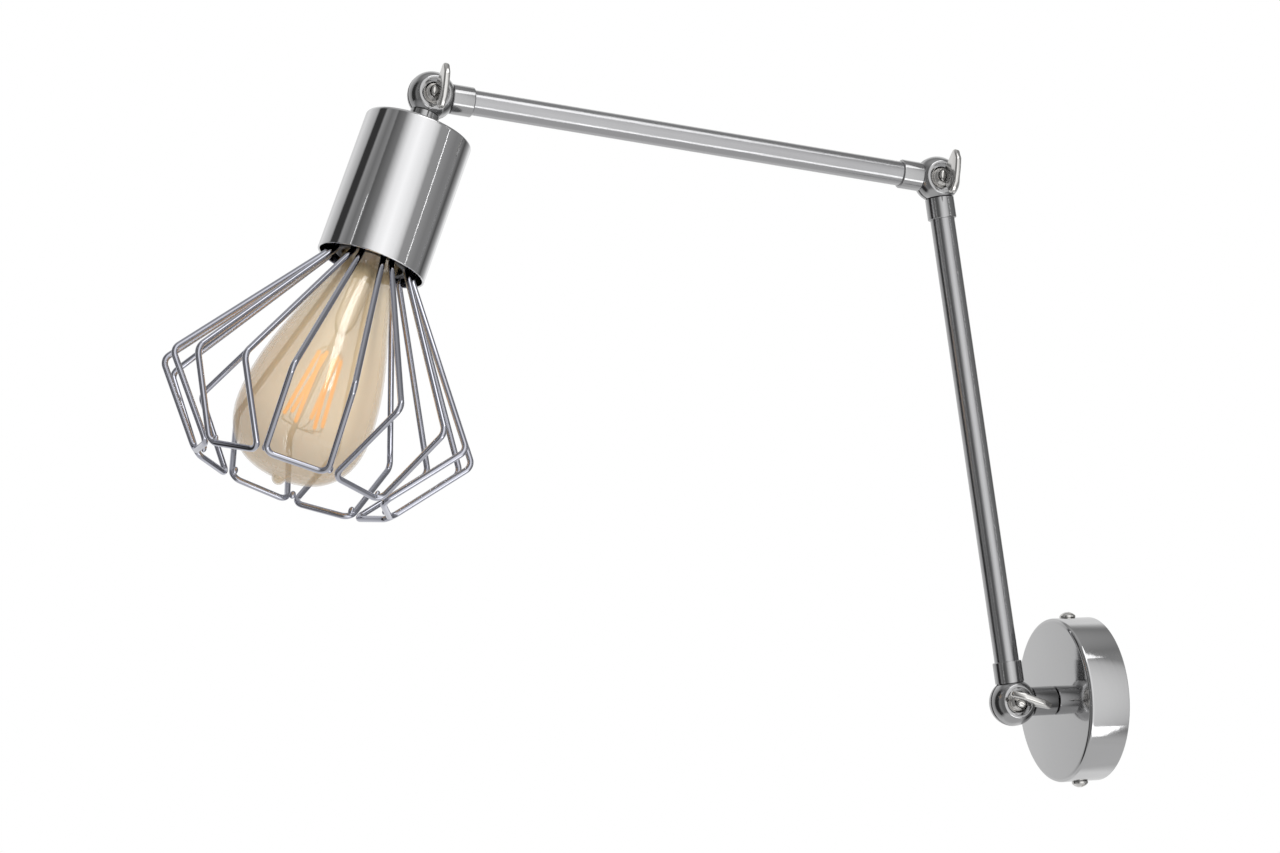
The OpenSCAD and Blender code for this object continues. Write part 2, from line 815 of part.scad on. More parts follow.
canopy();
wall_bracket();
canopy_screws();
earth_screw();
terminal_block();
terminal_screws();
base_slip_washer();
base_rear_half();
base_nipple();
base_lock_nut();
base_front_half();
base_friction_ring();
base_spring_washer();
base_thumb_screw();
lower_arm_tube();
lower_arm_leads();
elbow_rear_half();
elbow_front_half();
elbow_friction_ring();
elbow_spring_washer();
elbow_thumb_screw();
upper_arm_tube();
upper_arm_leads();
head_front_half();
head_friction_ring();
head_spring_washer();
head_thumb_screw();
head_rear_half();
head_nipple();
head_lock_nut();
lamp_cup();
cage_plate();
cage_petal(1);  // cage_petal_1
cage_petal(2);  // cage_petal_2
cage_petal(3);  // cage_petal_3
cage_petal(4);  // cage_petal_4
cage_petal(5);  // cage_petal_5
cage_petal(6);  // cage_petal_6
cage_petal(7);  // cage_petal_7
cage_petal(8);  // cage_petal_8
cage_petal(9);  // cage_petal_9
holder_cap();
holder_body();
holder_contact_block();
holder_screw_shell();
holder_centre_contact();
bulb_glass();
bulb_cap();
bulb_insulator();
bulb_contact();
bulb_stem();
bulb_support_wires();
bulb_filaments();
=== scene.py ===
"""Looks of a swing arm wall sconce: detailed pieces, finishes, studio and camera.

All sizes are metres in the row frame. The wall is the plane X = 0, the light reaches out along -X,
+Z is up, and every knuckle's hinge axis runs along Y with its thumb screw towards -Y.
"""

import json
import logging
import math
from collections.abc import Iterator, Sequence
from contextlib import contextmanager
from dataclasses import dataclass, field
from enum import Enum

import bpy
from mathutils import Matrix, Vector


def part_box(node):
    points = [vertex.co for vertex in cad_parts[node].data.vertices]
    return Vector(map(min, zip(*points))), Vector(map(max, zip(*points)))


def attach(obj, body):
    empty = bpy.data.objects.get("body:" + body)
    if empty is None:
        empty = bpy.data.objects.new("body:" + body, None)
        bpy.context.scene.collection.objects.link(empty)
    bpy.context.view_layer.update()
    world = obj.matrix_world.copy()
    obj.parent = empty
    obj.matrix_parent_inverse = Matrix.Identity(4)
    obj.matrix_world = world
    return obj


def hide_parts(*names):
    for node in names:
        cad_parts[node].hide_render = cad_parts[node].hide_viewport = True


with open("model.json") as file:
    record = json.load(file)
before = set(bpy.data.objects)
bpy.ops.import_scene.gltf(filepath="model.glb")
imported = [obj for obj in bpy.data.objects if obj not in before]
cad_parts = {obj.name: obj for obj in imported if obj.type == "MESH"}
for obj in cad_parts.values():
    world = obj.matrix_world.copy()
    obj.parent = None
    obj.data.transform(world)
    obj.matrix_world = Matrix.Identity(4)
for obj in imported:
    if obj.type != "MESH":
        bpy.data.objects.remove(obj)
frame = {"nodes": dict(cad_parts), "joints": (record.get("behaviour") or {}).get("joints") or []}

LOG = logging.getLogger("sconce")

UP = Vector((0.0, 0.0, 1.0))
FRONT = Vector((0.0, -1.0, 0.0))
OUT = Vector((-1.0, 0.0, 0.0))

# Sockets of a colour mixing node: its factor, first and second colour, and its result
MIX_FACTOR, MIX_FIRST, MIX_SECOND, MIX_RESULT = 0, 6, 7, 2

Outline = Sequence[tuple[float, float]]
Colour = tuple[float, float, float]


# ---------------------------------------------------------------------------------------------
# Places and outlines
# ---------------------------------------------------------------------------------------------


@dataclass(frozen=True)
class Placement:
    """Where a piece's own axes lie in the row frame.

    Args:
        origin: The piece's own origin.
        z_axis: Direction of the piece's own Z.
        x_axis: Direction of the piece's own X, at right angles to z_axis.
    """

    origin: Vector
    z_axis: Vector
    x_axis: Vector

    def matrix(self) -> Matrix:
        """Returns the transform from the piece's own axes to the row frame."""
        z = self.z_axis.normalized()
        x = self.x_axis.normalized()
        y = z.cross(x)
        rotation = Matrix((x, y, z)).transposed().to_4x4()
        return Matrix.Translation(self.origin) @ rotation


@dataclass(frozen=True)
class Skeleton:
    """Ball centres and directions that every piece takes its place from.

    Args:
        base: Centre of the base ball.
        elbow: Centre of the elbow ball.
        head: Centre of the head ball.
        cup: Centre of the lamp cup.
    """

    base: Vector
    elbow: Vector
    head: Vector
    cup: Vector

    @staticmethod
    def from_frame() -> "Skeleton":
        """Reads the places from the frame's joints and the cup's box."""
        at = {joint["name"]: Vector(joint["pos_m"]) for joint in frame["joints"]}
        low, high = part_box("lamp_cup")
        return Skeleton(at["base_fold"], at["elbow_fold"], at["head_fold"], (low + high) / 2)

    def lower(self) -> Vector:
        """Returns the lower arm's direction."""
        return (self.elbow - self.base).normalized()

    def upper(self) -> Vector:
        """Returns the upper arm's direction."""
        return (self.head - self.elbow).normalized()

    def shine(self) -> Vector:
        """Returns the direction in which the lamp head points."""
        return (self.cup - self.head).normalized()


def arc(centre: tuple[float, float], radius: float, start: float, end: float,
        steps: int = 6) -> Outline:
    """Returns points on an arc.

    Args:
        centre: Centre of the arc.
        radius: Radius of the arc.
        start: First angle, in degrees.
        end: Last angle, in degrees.
        steps: Number of straight steps along the arc.
    """
    angles = [math.radians(start + (end - start) * i / steps) for i in range(steps + 1)]
    return [(centre[0] + radius * math.cos(a), centre[1] + radius * math.sin(a)) for a in angles]


def cubic(p0: Sequence[float], p1: Sequence[float], p2: Sequence[float], p3: Sequence[float],
          steps: int) -> Outline:
    """Returns points on a cubic curve from p0 to p3, pulled towards p1 and p2."""
    points = []
    for i in range(steps + 1):
        t = i / steps
        weights = ((1 - t) ** 3, 3 * (1 - t) ** 2 * t, 3 * (1 - t) * t * t, t ** 3)
        pulls = list(zip(weights, (p0, p1, p2, p3)))
        points.append(tuple(sum(w * p[k] for w, p in pulls) for k in (0, 1)))
    return points


# ---------------------------------------------------------------------------------------------
# Modelling steps
# ---------------------------------------------------------------------------------------------


class Joining(Enum):
    """How one shape is joined to another."""

    UNITE = "UNION"
    CUT = "DIFFERENCE"


class Bench:
    """Modelling steps that the pieces share, each done with Blender's own operators."""

    SEED = 0.001
    MERGE = 2e-7
    SMOOTH = math.radians(32)
    SHARP = math.radians(50)

    @staticmethod
    def pick(*objects: bpy.types.Object) -> None:
        """Selects only the given objects and makes the first one active."""
        bpy.ops.object.select_all(action="DESELECT")
        for obj in objects:
            obj.select_set(True)
        if objects:
            bpy.context.view_layer.objects.active = objects[0]

    @classmethod
    @contextmanager
    def editing(cls) -> Iterator[None]:
        """Opens the active shape in edit mode with all of it selected, and closes it after."""
        bpy.ops.object.mode_set(mode="EDIT")
        bpy.ops.mesh.select_all(action="SELECT")
        yield
        bpy.ops.object.mode_set(mode="OBJECT")

    @classmethod
    def draw(cls, points: Sequence[Sequence[float]]) -> bpy.types.Object:
        """Draws an open chain of edges by extruding one vertex from point to point.

        Args:
            points: The chain's corners, in order.

        Returns:
            The new object, in object mode.
        """
        cls.pick()
        bpy.ops.mesh.primitive_plane_add(size=cls.SEED)
        obj = bpy.context.object
        with cls.editing():
            bpy.ops.mesh.merge(type="CENTER")
            bpy.ops.transform.translate(value=Vector(points[0]))
            for here, there in zip(points, points[1:]):
                step = Vector(there) - Vector(here)
                bpy.ops.mesh.extrude_vertices_move(TRANSFORM_OT_translate={"value": step})
        return obj

    @classmethod
    def lathe(cls, outline: Outline, steps: int = 96, closed: bool = True) -> bpy.types.Object:
        """Turns an outline about the piece's own Z.

        Args:
            outline: Points of (radius, height), round the section.
            steps: Number of faces round the turn.
            closed: Whether the outline runs back to its first point.

        Returns:
            The turned shape, with its faces outwards.
        """
        points = [(r, 0.0, z) for r, z in outline]
        if closed:
            points.append(points[0])
        obj = cls.draw(points)
        with cls.editing():
            bpy.ops.mesh.spin(steps=steps, angle=math.tau, center=(0, 0, 0), axis=(0, 0, 1))
            cls.weld()
        return obj

    @classmethod
    def weld(cls) -> None:
        """Merges doubles and turns faces outwards, in edit mode."""
        bpy.ops.mesh.select_all(action="SELECT")
        bpy.ops.mesh.remove_doubles(threshold=cls.MERGE)
        bpy.ops.mesh.select_all(action="SELECT")
        bpy.ops.mesh.normals_make_consistent(inside=False)

    @classmethod
    def plate(cls, outline: Outline, thickness: float, edge: float) -> bpy.types.Object:
        """Makes a flat plate with rounded edges, lying in its own XY plane.

        Args:
            outline: The plate's corners, in order.
            thickness: The plate's thickness, centred on Z = 0.
            edge: Radius of the rounded edges.
        """
        ring = [(x, y, -thickness / 2) for x, y in outline]
        obj = cls.draw(ring + ring[:1])
        with cls.editing():
            cls.weld()
            bpy.ops.mesh.edge_face_add()
            bpy.ops.mesh.extrude_region_move(TRANSFORM_OT_translate={"value": (0, 0, thickness)})
            cls.weld()
        cls.modify(obj, "BEVEL", width=edge, segments=5, limit_method="ANGLE",
                   angle_limit=cls.SHARP)
        return obj

    @classmethod
    def wire(cls, path: Sequence[Vector], radius: float, bend: float,
             sides: int = 4) -> bpy.types.Object:
        """Bends a round wire along a path.

        Args:
            path: The corners of the wire's middle line.
            radius: The wire's radius.
            bend: Radius of each bend, to the wire's middle.
            sides: Blender's bevel resolution of the round section.
        """
        chain = [path[0]]
        for before, corner, after in zip(path, path[1:], path[2:]):
            chain.extend(cls.bend_points(before, corner, after, bend))
        chain.append(path[-1])
        obj = cls.draw(chain)
        cls.pick(obj)
        bpy.ops.object.convert(target="CURVE")
        obj.data.bevel_depth = radius
        obj.data.bevel_resolution = sides
        obj.data.use_fill_caps = True
        bpy.ops.object.convert(target="MESH")
        with cls.editing():
            cls.weld()
        return obj

    @staticmethod
    def bend_points(before: Vector, corner: Vector, after: Vector, bend: float,
                    steps: int = 8) -> list[Vector]:
        """Returns the points of a round bend that replaces a corner."""
        back = (before - corner).normalized()
        on = (after - corner).normalized()
        half = back.angle(on) / 2
        take = bend / math.tan(half)
        centre = corner + (back + on).normalized() * (bend / math.sin(half))
        start = corner + back * take - centre
        axis = start.cross(corner + on * take - centre).normalized()
        turn = math.pi - 2 * half
        turns = [Matrix.Rotation(turn * i / steps, 3, axis) for i in range(steps + 1)]
        return [centre + each @ start for each in turns]

    @classmethod
    def modify(cls, obj: bpy.types.Object, kind: str, **settings: object) -> None:
        """Adds one modifier with its settings and applies it."""
        cls.pick(obj)
        modifier = obj.modifiers.new(kind.title(), kind)
        for key, value in settings.items():
            setattr(modifier, key, value)
        bpy.ops.object.modifier_apply(modifier=modifier.name)

    @classmethod
    def join(cls, obj: bpy.types.Object, other: bpy.types.Object, how: Joining) -> None:
        """Unites a shape with another or cuts it by the other, which is then removed."""
        cls.modify(obj, "BOOLEAN", operation=how.value, object=other, solver="EXACT")
        bpy.data.objects.remove(other)

    @classmethod
    def move(cls, obj: bpy.types.Object, placement: Placement) -> bpy.types.Object:
        """Moves a shape to its place and leaves its object at the origin."""
        obj.matrix_world = placement.matrix()
        bpy.context.view_layer.update()
        cls.pick(obj)
        bpy.ops.object.transform_apply(location=True, rotation=True, scale=True)
        return obj

    @classmethod
    def copy(cls, obj: bpy.types.Object) -> bpy.types.Object:
        """Returns a copy of a shape with a mesh of its own."""
        twin = obj.copy()
        twin.data = obj.data.copy()
        bpy.context.scene.collection.objects.link(twin)
        return twin

    @classmethod
    def smooth(cls, obj: bpy.types.Object, angle: float = SMOOTH) -> None:
        """Shades a shape smooth, with creases sharper than the angle kept."""
        cls.pick(obj)
        bpy.ops.object.shade_smooth_by_angle(angle=angle)


# ---------------------------------------------------------------------------------------------
# Finishes
# ---------------------------------------------------------------------------------------------


class Nodes:
    """A material's node tree, with short ways to add and join nodes."""

    def __init__(self, name: str) -> None:
        """Makes a new material with a Principled shader.

        Args:
            name: The material's name.
        """
        self.material = bpy.data.materials.new(name)
        self.material.use_nodes = True
        self.tree = self.material.node_tree
        self.shader = self.tree.nodes["Principled BSDF"]

    def add(self, kind: str, **inputs: object) -> bpy.types.Node:
        """Adds a node and sets inputs by name, or joins them where a socket is given.

        Args:
            kind: The node's type, without the ShaderNode prefix.
            inputs: Values or sockets, with an input's spaces written as underscores.

        Returns:
            The new node.
        """
        node = self.tree.nodes.new("ShaderNode" + kind)
        for key, value in inputs.items():
            self.put(node, key.replace("_", " "), value)
        return node

    def put(self, node: bpy.types.Node, name: str, value: object) -> None:
        """Sets one input of a node, or joins it where the value is a socket."""
        if isinstance(value, bpy.types.NodeSocket):
            self.tree.links.new(value, node.inputs[name])
        else:
            node.inputs[name].default_value = value

    def coordinates(self, scale: Sequence[float] = (1, 1, 1),
                    rotation: Sequence[float] = (0, 0, 0)) -> bpy.types.NodeSocket:
        """Returns the piece's own coordinates, turned and then scaled."""
        here = self.add("TexCoord").outputs["Object"]
        turned = self.add("Mapping", Vector=here, Rotation=rotation)
        return self.add("Mapping", Vector=turned.outputs["Vector"], Scale=scale).outputs["Vector"]

    def noise(self, scale: float, detail: float = 3.0, vector: bpy.types.NodeSocket | None = None,
              roughness: float = 0.5) -> bpy.types.NodeSocket:
        """Returns a noise value between 0 and 1."""
        where = vector or self.coordinates()
        node = self.add("TexNoise", Vector=where, Scale=scale, Detail=detail, Roughness=roughness)
        return node.outputs["Fac"]

    def ramp(self, value: bpy.types.NodeSocket, low: float, high: float, start: float = 0.3,
             end: float = 0.7) -> bpy.types.NodeSocket:
        """Returns a value mapped from start..end to low..high."""
        node = self.add("MapRange", Value=value)
        node.inputs["From Min"].default_value = start
        node.inputs["From Max"].default_value = end
        node.inputs["To Min"].default_value = low
        node.inputs["To Max"].default_value = high
        return node.outputs["Result"]

    def blend(self, value: bpy.types.NodeSocket, first: Colour,
              second: Colour) -> bpy.types.NodeSocket:
        """Returns a colour between two, by a value from 0 to 1."""
        node = self.add("Mix")
        node.data_type = "RGBA"
        self.tree.links.new(value, node.inputs[MIX_FACTOR])
        node.inputs[MIX_FIRST].default_value = (*first, 1.0)
        node.inputs[MIX_SECOND].default_value = (*second, 1.0)
        return node.outputs[MIX_RESULT]

    def bump(self, height: bpy.types.NodeSocket, strength: float, distance: float,
             normal: bpy.types.NodeSocket | None = None) -> bpy.types.NodeSocket:
        """Returns a normal bent by a height."""
        node = self.add("Bump", Height=height, Strength=strength, Distance=distance)
        if normal:
            self.tree.links.new(normal, node.inputs["Normal"])
        return node.outputs["Normal"]

    def set(self, **inputs: object) -> None:
        """Sets or joins inputs of the Principled shader."""
        for key, value in inputs.items():
            self.put(self.shader, key.replace("_", " "), value)


def shade(colour: Colour, share: float) -> Colour:
    """Returns a colour darkened or lightened by a share."""
    return tuple(min(1.0, part * share) for part in colour)


@dataclass(frozen=True)
class Finish:
    """What a surface is made of. Each kind of finish says how its nodes are laid."""

    name: str
    colour: Colour

    def lay(self, nodes: Nodes) -> None:
        """Lays the finish's nodes in a new material."""
        nodes.set(Base_Color=(*self.colour, 1.0))

    def material(self) -> bpy.types.Material:
        """Returns the finish's material, made the first time that it is asked for."""
        found = bpy.data.materials.get(self.name)
        if found:
            return found
        nodes = Nodes(self.name)
        self.lay(nodes)
        return nodes.material

    def apply(self, obj: bpy.types.Object) -> None:
        """Gives an object this finish all over."""
        if not obj.material_slots:
            obj.data.materials.append(None)
        for slot in obj.material_slots:
            slot.material = self.material()


@dataclass(frozen=True)
class Polished(Finish):
    """Bright plated metal with faint smudges, fine polishing lines and a slight waviness.

    Args:
        roughness: Roughness of the clean metal.
        smudge: Roughness that smudges add.
        grain: Size of the smudges, as a noise scale.
        wave: Height of the slow waviness.
        tarnish: Share of its brightness that the plating drifts to.
        brush: Depth of the fine polishing lines.
    """

    roughness: float = 0.05
    smudge: float = 0.06
    grain: float = 28.0
    wave: float = 0.00006
    tarnish: float = 0.90
    brush: float = 0.025

    def lay(self, nodes: Nodes) -> None:
        """Lays colour drift, smudges, polishing lines and waviness."""
        smudges = nodes.noise(self.grain, 5.0, roughness=0.65)
        drift = nodes.noise(self.grain / 3, 2.0)
        lines = nodes.noise(420.0, 2.0, nodes.coordinates((1.0, 1.0, 0.12), (0.35, 0.2, 0.0)))
        rough = nodes.ramp(smudges, self.roughness, self.roughness + self.smudge, 0.42, 0.75)
        slow = nodes.bump(nodes.noise(18.0, 1.0), 1.0, self.wave)
        nodes.set(
            Base_Color=nodes.blend(drift, self.colour, shade(self.colour, self.tarnish)),
            Metallic=1.0,
            Roughness=rough,
            Normal=nodes.bump(lines, self.brush, 0.0004, slow),
        )


@dataclass(frozen=True)
class Drawn(Finish):
    """Satin plated tube with fine streaks along its length.

    Args:
        heading: Turn about Y that lays the streaks along the tube, in radians.
        roughness: Roughness between the streaks.
    """

    heading: float = 0.0
    roughness: float = 0.16

    def lay(self, nodes: Nodes) -> None:
        """Lays streaks, worn spots and a drift of colour along the tube."""
        along = nodes.coordinates((0.035, 1.0, 1.0), (0.0, self.heading, 0.0))
        streaks = nodes.noise(1500.0, 4.0, along, 0.6)
        spots = nodes.noise(60.0, 5.0, roughness=0.7)
        broad = nodes.noise(300.0, 2.0, along)
        nodes.set(
            Base_Color=nodes.blend(broad, self.colour, shade(self.colour, 0.84)),
            Metallic=1.0,
            Roughness=nodes.ramp(spots, self.roughness, self.roughness + 0.10, 0.35, 0.8),
            Normal=nodes.bump(streaks, 0.10, 0.0004),
        )


@dataclass(frozen=True)
class Moulded(Finish):
    """Moulded plastic, fibre or glaze with a fine skin.

    Args:
        roughness: Roughness of the skin.
        grain: Noise scale of the skin.
        depth: Height of the skin's grain.
    """

    roughness: float = 0.35
    grain: float = 900.0
    depth: float = 0.00004

    def lay(self, nodes: Nodes) -> None:
        """Lays a fine grain and a slight unevenness of colour and gloss."""
        skin = nodes.noise(self.grain, 3.0)
        cloud = nodes.noise(45.0, 3.0)
        nodes.set(
            Base_Color=nodes.blend(cloud, self.colour, shade(self.colour, 0.85)),
            Roughness=nodes.ramp(cloud, self.roughness * 0.85, self.roughness * 1.2),
            Normal=nodes.bump(skin, 0.4, self.depth),
        )


@dataclass(frozen=True)
class Clear(Finish):
    """Clear blown glass.

    Args:
        roughness: Roughness of the surface.
        ripple: Height of the slow ripple left by blowing.
    """

    roughness: float = 0.0
    ripple: float = 0.00005

    def lay(self, nodes: Nodes) -> None:
        """Lays a tint, a touch of haze and a slow ripple."""
        haze = nodes.noise(22.0, 3.0)
        nodes.set(
            Base_Color=nodes.blend(haze, self.colour, shade(self.colour, 0.97)),
            Roughness=nodes.ramp(haze, self.roughness, self.roughness + 0.004),
            Normal=nodes.bump(nodes.noise(30.0, 1.0), 0.6, self.ripple),
            Transmission_Weight=1.0,
            IOR=1.45,
        )


@dataclass(frozen=True)
class Phosphor(Finish):
    """Soft orange coating of a filament, with a faint painted emission that lights the unlit
    filament.

    Args:
        painted_glow: Strength of the painted emission on the unlit filament.
    """

    painted_glow: float = 1.0

    def lay(self, nodes: Nodes) -> None:
        """Lays the coating's grain and its painted emission."""
        grain = nodes.noise(1400.0, 2.0)
        colour = nodes.blend(grain, self.colour, shade(self.colour, 0.8))
        nodes.set(
            Base_Color=colour,
            Roughness=nodes.ramp(grain, 0.4, 0.6),
            # Painted light: the emission lights the unlit filament in the coating's own colour
            Emission_Color=colour,
            Emission_Strength=self.painted_glow,
            Normal=nodes.bump(grain, 0.3, 0.0002),
        )


class Finishes:
    """Every finish on the sconce."""

    canopy = Polished("canopy_chrome", (0.63, 0.63, 0.635), roughness=0.07, smudge=0.08,
                      wave=0.00010)
    cup = Polished("cup_chrome", (0.86, 0.86, 0.87), roughness=0.05, smudge=0.05, wave=0.00003)
    casting = Polished("casting_chrome", (0.52, 0.52, 0.525), roughness=0.11, smudge=0.10,
                       grain=90.0, wave=0.00005)
    screw = Polished("screw_nickel", (0.80, 0.79, 0.775), roughness=0.09, smudge=0.08, grain=120.0)
    cage = Polished("cage_chrome", (0.66, 0.67, 0.75), roughness=0.05, smudge=0.07, grain=60.0,
                    wave=0.00001, tarnish=0.80, brush=0.004)
    zinc = Polished("zinc_plate", (0.62, 0.64, 0.66), roughness=0.28, smudge=0.15, grain=200.0)
    brass = Polished("turned_brass", (0.78, 0.62, 0.34), roughness=0.20, smudge=0.12, grain=150.0)
    bulb_cap = Polished("bulb_cap_brass", (0.80, 0.74, 0.60), roughness=0.18, smudge=0.10,
                        grain=150.0)
    black = Moulded("black_moulding", (0.025, 0.025, 0.026), roughness=0.28)
    fibre = Moulded("black_fibre", (0.03, 0.03, 0.032), roughness=0.75, grain=2200.0, depth=0.0001)
    cream = Moulded("cream_moulding", (0.80, 0.76, 0.68), roughness=0.45)
    sleeve = Moulded("lead_sleeve", (0.72, 0.68, 0.60), roughness=0.5, grain=1500.0)
    glaze = Moulded("white_glaze", (0.82, 0.80, 0.76), roughness=0.15, grain=500.0)
    amber = Clear("amber_glass", (0.99, 0.945, 0.87), roughness=0.0)
    stem = Clear("stem_glass", (0.985, 0.96, 0.92), roughness=0.0)
    # The filament's emission is painted light on an unlit bulb; its orange colour is the coating's
    # own
    phosphor = Phosphor("filament_phosphor", (1.0, 0.36, 0.01), painted_glow=1.0)

    @staticmethod
    def tube(name: str, direction: Vector) -> Drawn:
        """Returns the tube finish with its streaks along a direction in the XZ plane."""
        return Drawn(name, (0.55, 0.55, 0.56), heading=math.atan2(direction.z, direction.x))


# ---------------------------------------------------------------------------------------------
# Sub-assemblies
# ---------------------------------------------------------------------------------------------


@dataclass
class Assembly:
    """A group of pieces on the frame. Each kind builds its pieces, then dresses its CAD nodes.

    Args:
        bones: Places and directions of the balls and the head.
    """

    bones: Skeleton

    def build(self) -> None:
        """Builds the assembly's new pieces."""

    def dress(self) -> None:
        """Gives the carried-over nodes their finishes."""

    @staticmethod
    def fit(obj: bpy.types.Object, name: str, body: str, slot: str, finish: Finish,
            *nodes: str) -> bpy.types.Object:
        """Names a finished piece, dresses it and hangs it on its body.

        Args:
            obj: The piece, in its place.
            name: Its name.
            body: The body that it moves with.
            slot: The record's material slot that it belongs to; not used.
            finish: Its finish.
            nodes: The nodes that it stands for.

        Returns:
            The piece.
        """
        obj.name = name
        obj.data.name = name
        finish.apply(obj)
        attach(obj, body)
        if nodes:
            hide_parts(*nodes)
        LOG.info("%s: %d faces on %s", name, len(obj.data.polygons), body)
        return obj

    @classmethod
    def mount(cls, obj: bpy.types.Object, placement: Placement, name: str, body: str, slot: str,
              finish: Finish, *nodes: str, crease: float = Bench.SMOOTH) -> None:
        """Moves a shape to its place, shades it smooth up to a crease angle, then fits it."""
        Bench.move(obj, placement)
        Bench.smooth(obj, crease)
        cls.fit(obj, name, body, slot, finish, *nodes)

    @staticmethod
    def paint(finish: Finish, *nodes: str) -> None:
        """Gives carried-over nodes a finish."""
        for node in nodes:
            obj = frame["nodes"][node]
            finish.apply(obj)
            Bench.smooth(obj)


@dataclass
class WallMount(Assembly):
    """Canopy, its side screws, and what the canopy hides."""

    radius: float = 0.040
    depth: float = 0.021
    wall: float = 0.0012
    edge: float = 0.002
    hole: float = 0.0052
    screw_height: float = 0.010
    screw_head: float = 0.004
    screw_dome: float = 0.003
    slot_width: float = 0.001

    def build(self) -> None:
        """Builds the canopy and its two side screws."""
        on_wall = Placement(Vector((0, 0, 0)), OUT, UP)
        self.mount(self.canopy(), on_wall, "canopy_shell", "wall_mount", "polished_chrome",
                   Finishes.canopy, "canopy")
        screws = self.side_screw()
        for side, label in ((1, "top"), (-1, "bottom")):
            seat = Vector((-self.screw_height, 0, side * self.radius))
            self.mount(Bench.copy(screws), Placement(seat, UP * side, FRONT),
                       f"canopy_screw_{label}", "wall_mount", "screw_nickel", Finishes.screw,
                       "canopy_screws")
        bpy.data.objects.remove(screws)

    def canopy(self) -> bpy.types.Object:
        """Returns the drawn shell with its rolled front edge and small back lip."""
        r, h, t, e = self.radius, self.depth, self.wall, self.edge
        lip = t / 3
        outline = [
            (r - t, lip), (r - t + lip, 0.0), (r - lip, 0.0), (r, lip),
            *arc((r - e, h - e), e, 0, 90, 8),
            (self.hole, h), (self.hole, h - t),
            *arc((r - e - t * 0.2, h - e - t * 0.2), e - t * 0.8, 90, 0, 5),
        ]
        return Bench.lathe(outline, steps=160)

    def side_screw(self) -> bpy.types.Object:
        """Returns a slotted dome screw, head up, with its seat at Z = 0."""
        head, dome = self.screw_head, self.screw_dome
        crown = (head ** 2 + (dome - 0.001) ** 2) / (2 * (dome - 0.001))
        spread = math.degrees(math.asin(head / crown))
        outline = [
            (0.0, -0.005), (0.0018, -0.005), (0.002, -0.0045), (0.002, 0.0),
            (head - 0.0003, 0.0), (head, 0.0003),
            *arc((0.0, dome - crown), crown, 90 - spread * 0.97, 90, 8),
        ]
        screw = Bench.lathe(outline, steps=48, closed=False)
        Bench.pick()
        bpy.ops.mesh.primitive_cube_add(size=1.0)
        blade = bpy.context.object
        with Bench.editing():
            bpy.ops.transform.resize(value=(4 * head, self.slot_width, dome))
            bpy.ops.transform.translate(value=(0, 0, dome * 1.1))
        Bench.join(screw, blade, Joining.CUT)
        return screw

    def dress(self) -> None:
        """Dresses the bracket, terminals and fixings."""
        self.paint(Finishes.zinc, "wall_bracket", "terminal_screws", "base_slip_washer")
        self.paint(Finishes.brass, "earth_screw")
        self.paint(Finishes.cream, "terminal_block")


@dataclass
class ThumbScrew:
    """Thumb screw with a domed flange and a D-shaped paddle, along its own Z."""

    shank: float = 0.00245
    thread: float = 0.0077
    flange_z: float = 0.0056
    flange: float = 0.0054
    boss: float = 0.0032
    boss_z: float = 0.0094
    width: float = 0.022
    reach: float = 0.0262
    thickness: float = 0.003
    edge: float = 0.0011

    def shape(self, paddle: Vector, placement: Placement) -> bpy.types.Object:
        """Returns the whole screw in its place.

        Args:
            paddle: Direction of the paddle's width, in the row frame.
            placement: Where the screw's ball centre and axis lie.
        """
        screw = Bench.move(self.turned(), placement)
        across = placement.z_axis.cross(paddle) * -1
        blade = Bench.move(self.paddle(), Placement(placement.origin, across, paddle))
        Bench.join(screw, blade, Joining.UNITE)
        Bench.smooth(screw, math.radians(40))
        return screw

    def turned(self) -> bpy.types.Object:
        """Returns the shank, the domed flange and the neck."""
        top = self.boss_z + 0.0022
        round_over = 0.0015
        shank, thread, flange, low = self.shank, self.thread, self.flange, self.flange_z
        outline = [
            (0.0, -thread), (shank - 0.0004, -thread), (shank, 0.0004 - thread),
            (shank, low), (flange - 0.0002, low), (flange, low + 0.0002), (flange, low + 0.0007),
            *cubic((flange - 0.0002, low + 0.0009), (flange - 0.0012, self.boss_z - 0.001),
                   (self.boss + 0.0010, self.boss_z - 0.0016), (self.boss, self.boss_z), 8),
            *arc((self.boss - round_over, top - round_over), round_over, 0, 90, 6),
            (0.0, top),
        ]
        return Bench.lathe(outline, steps=72, closed=False)

    def paddle(self) -> bpy.types.Object:
        """Returns the D-shaped paddle, its width along X and its reach along Y."""
        half, reach = self.width / 2, self.reach
        corner, corner_drop, foot = 0.0027, 0.0054, 0.0031
        crown = self.width * 1.6
        spread = math.degrees(math.asin((half - corner) / (crown - 0.001))) * 0.72
        outline = [
            *arc((half - corner, reach - corner_drop), corner, -50, 72, 8),
            *arc((0.0, reach - crown), crown, 90 - spread, 90 + spread, 8),
            *arc((corner - half, reach - corner_drop), corner, 108, 230, 8),
            *arc((0.0, self.boss_z + 0.0028), foot, 205, 335, 6),
        ]
        return Bench.plate(outline, self.thickness, self.edge)


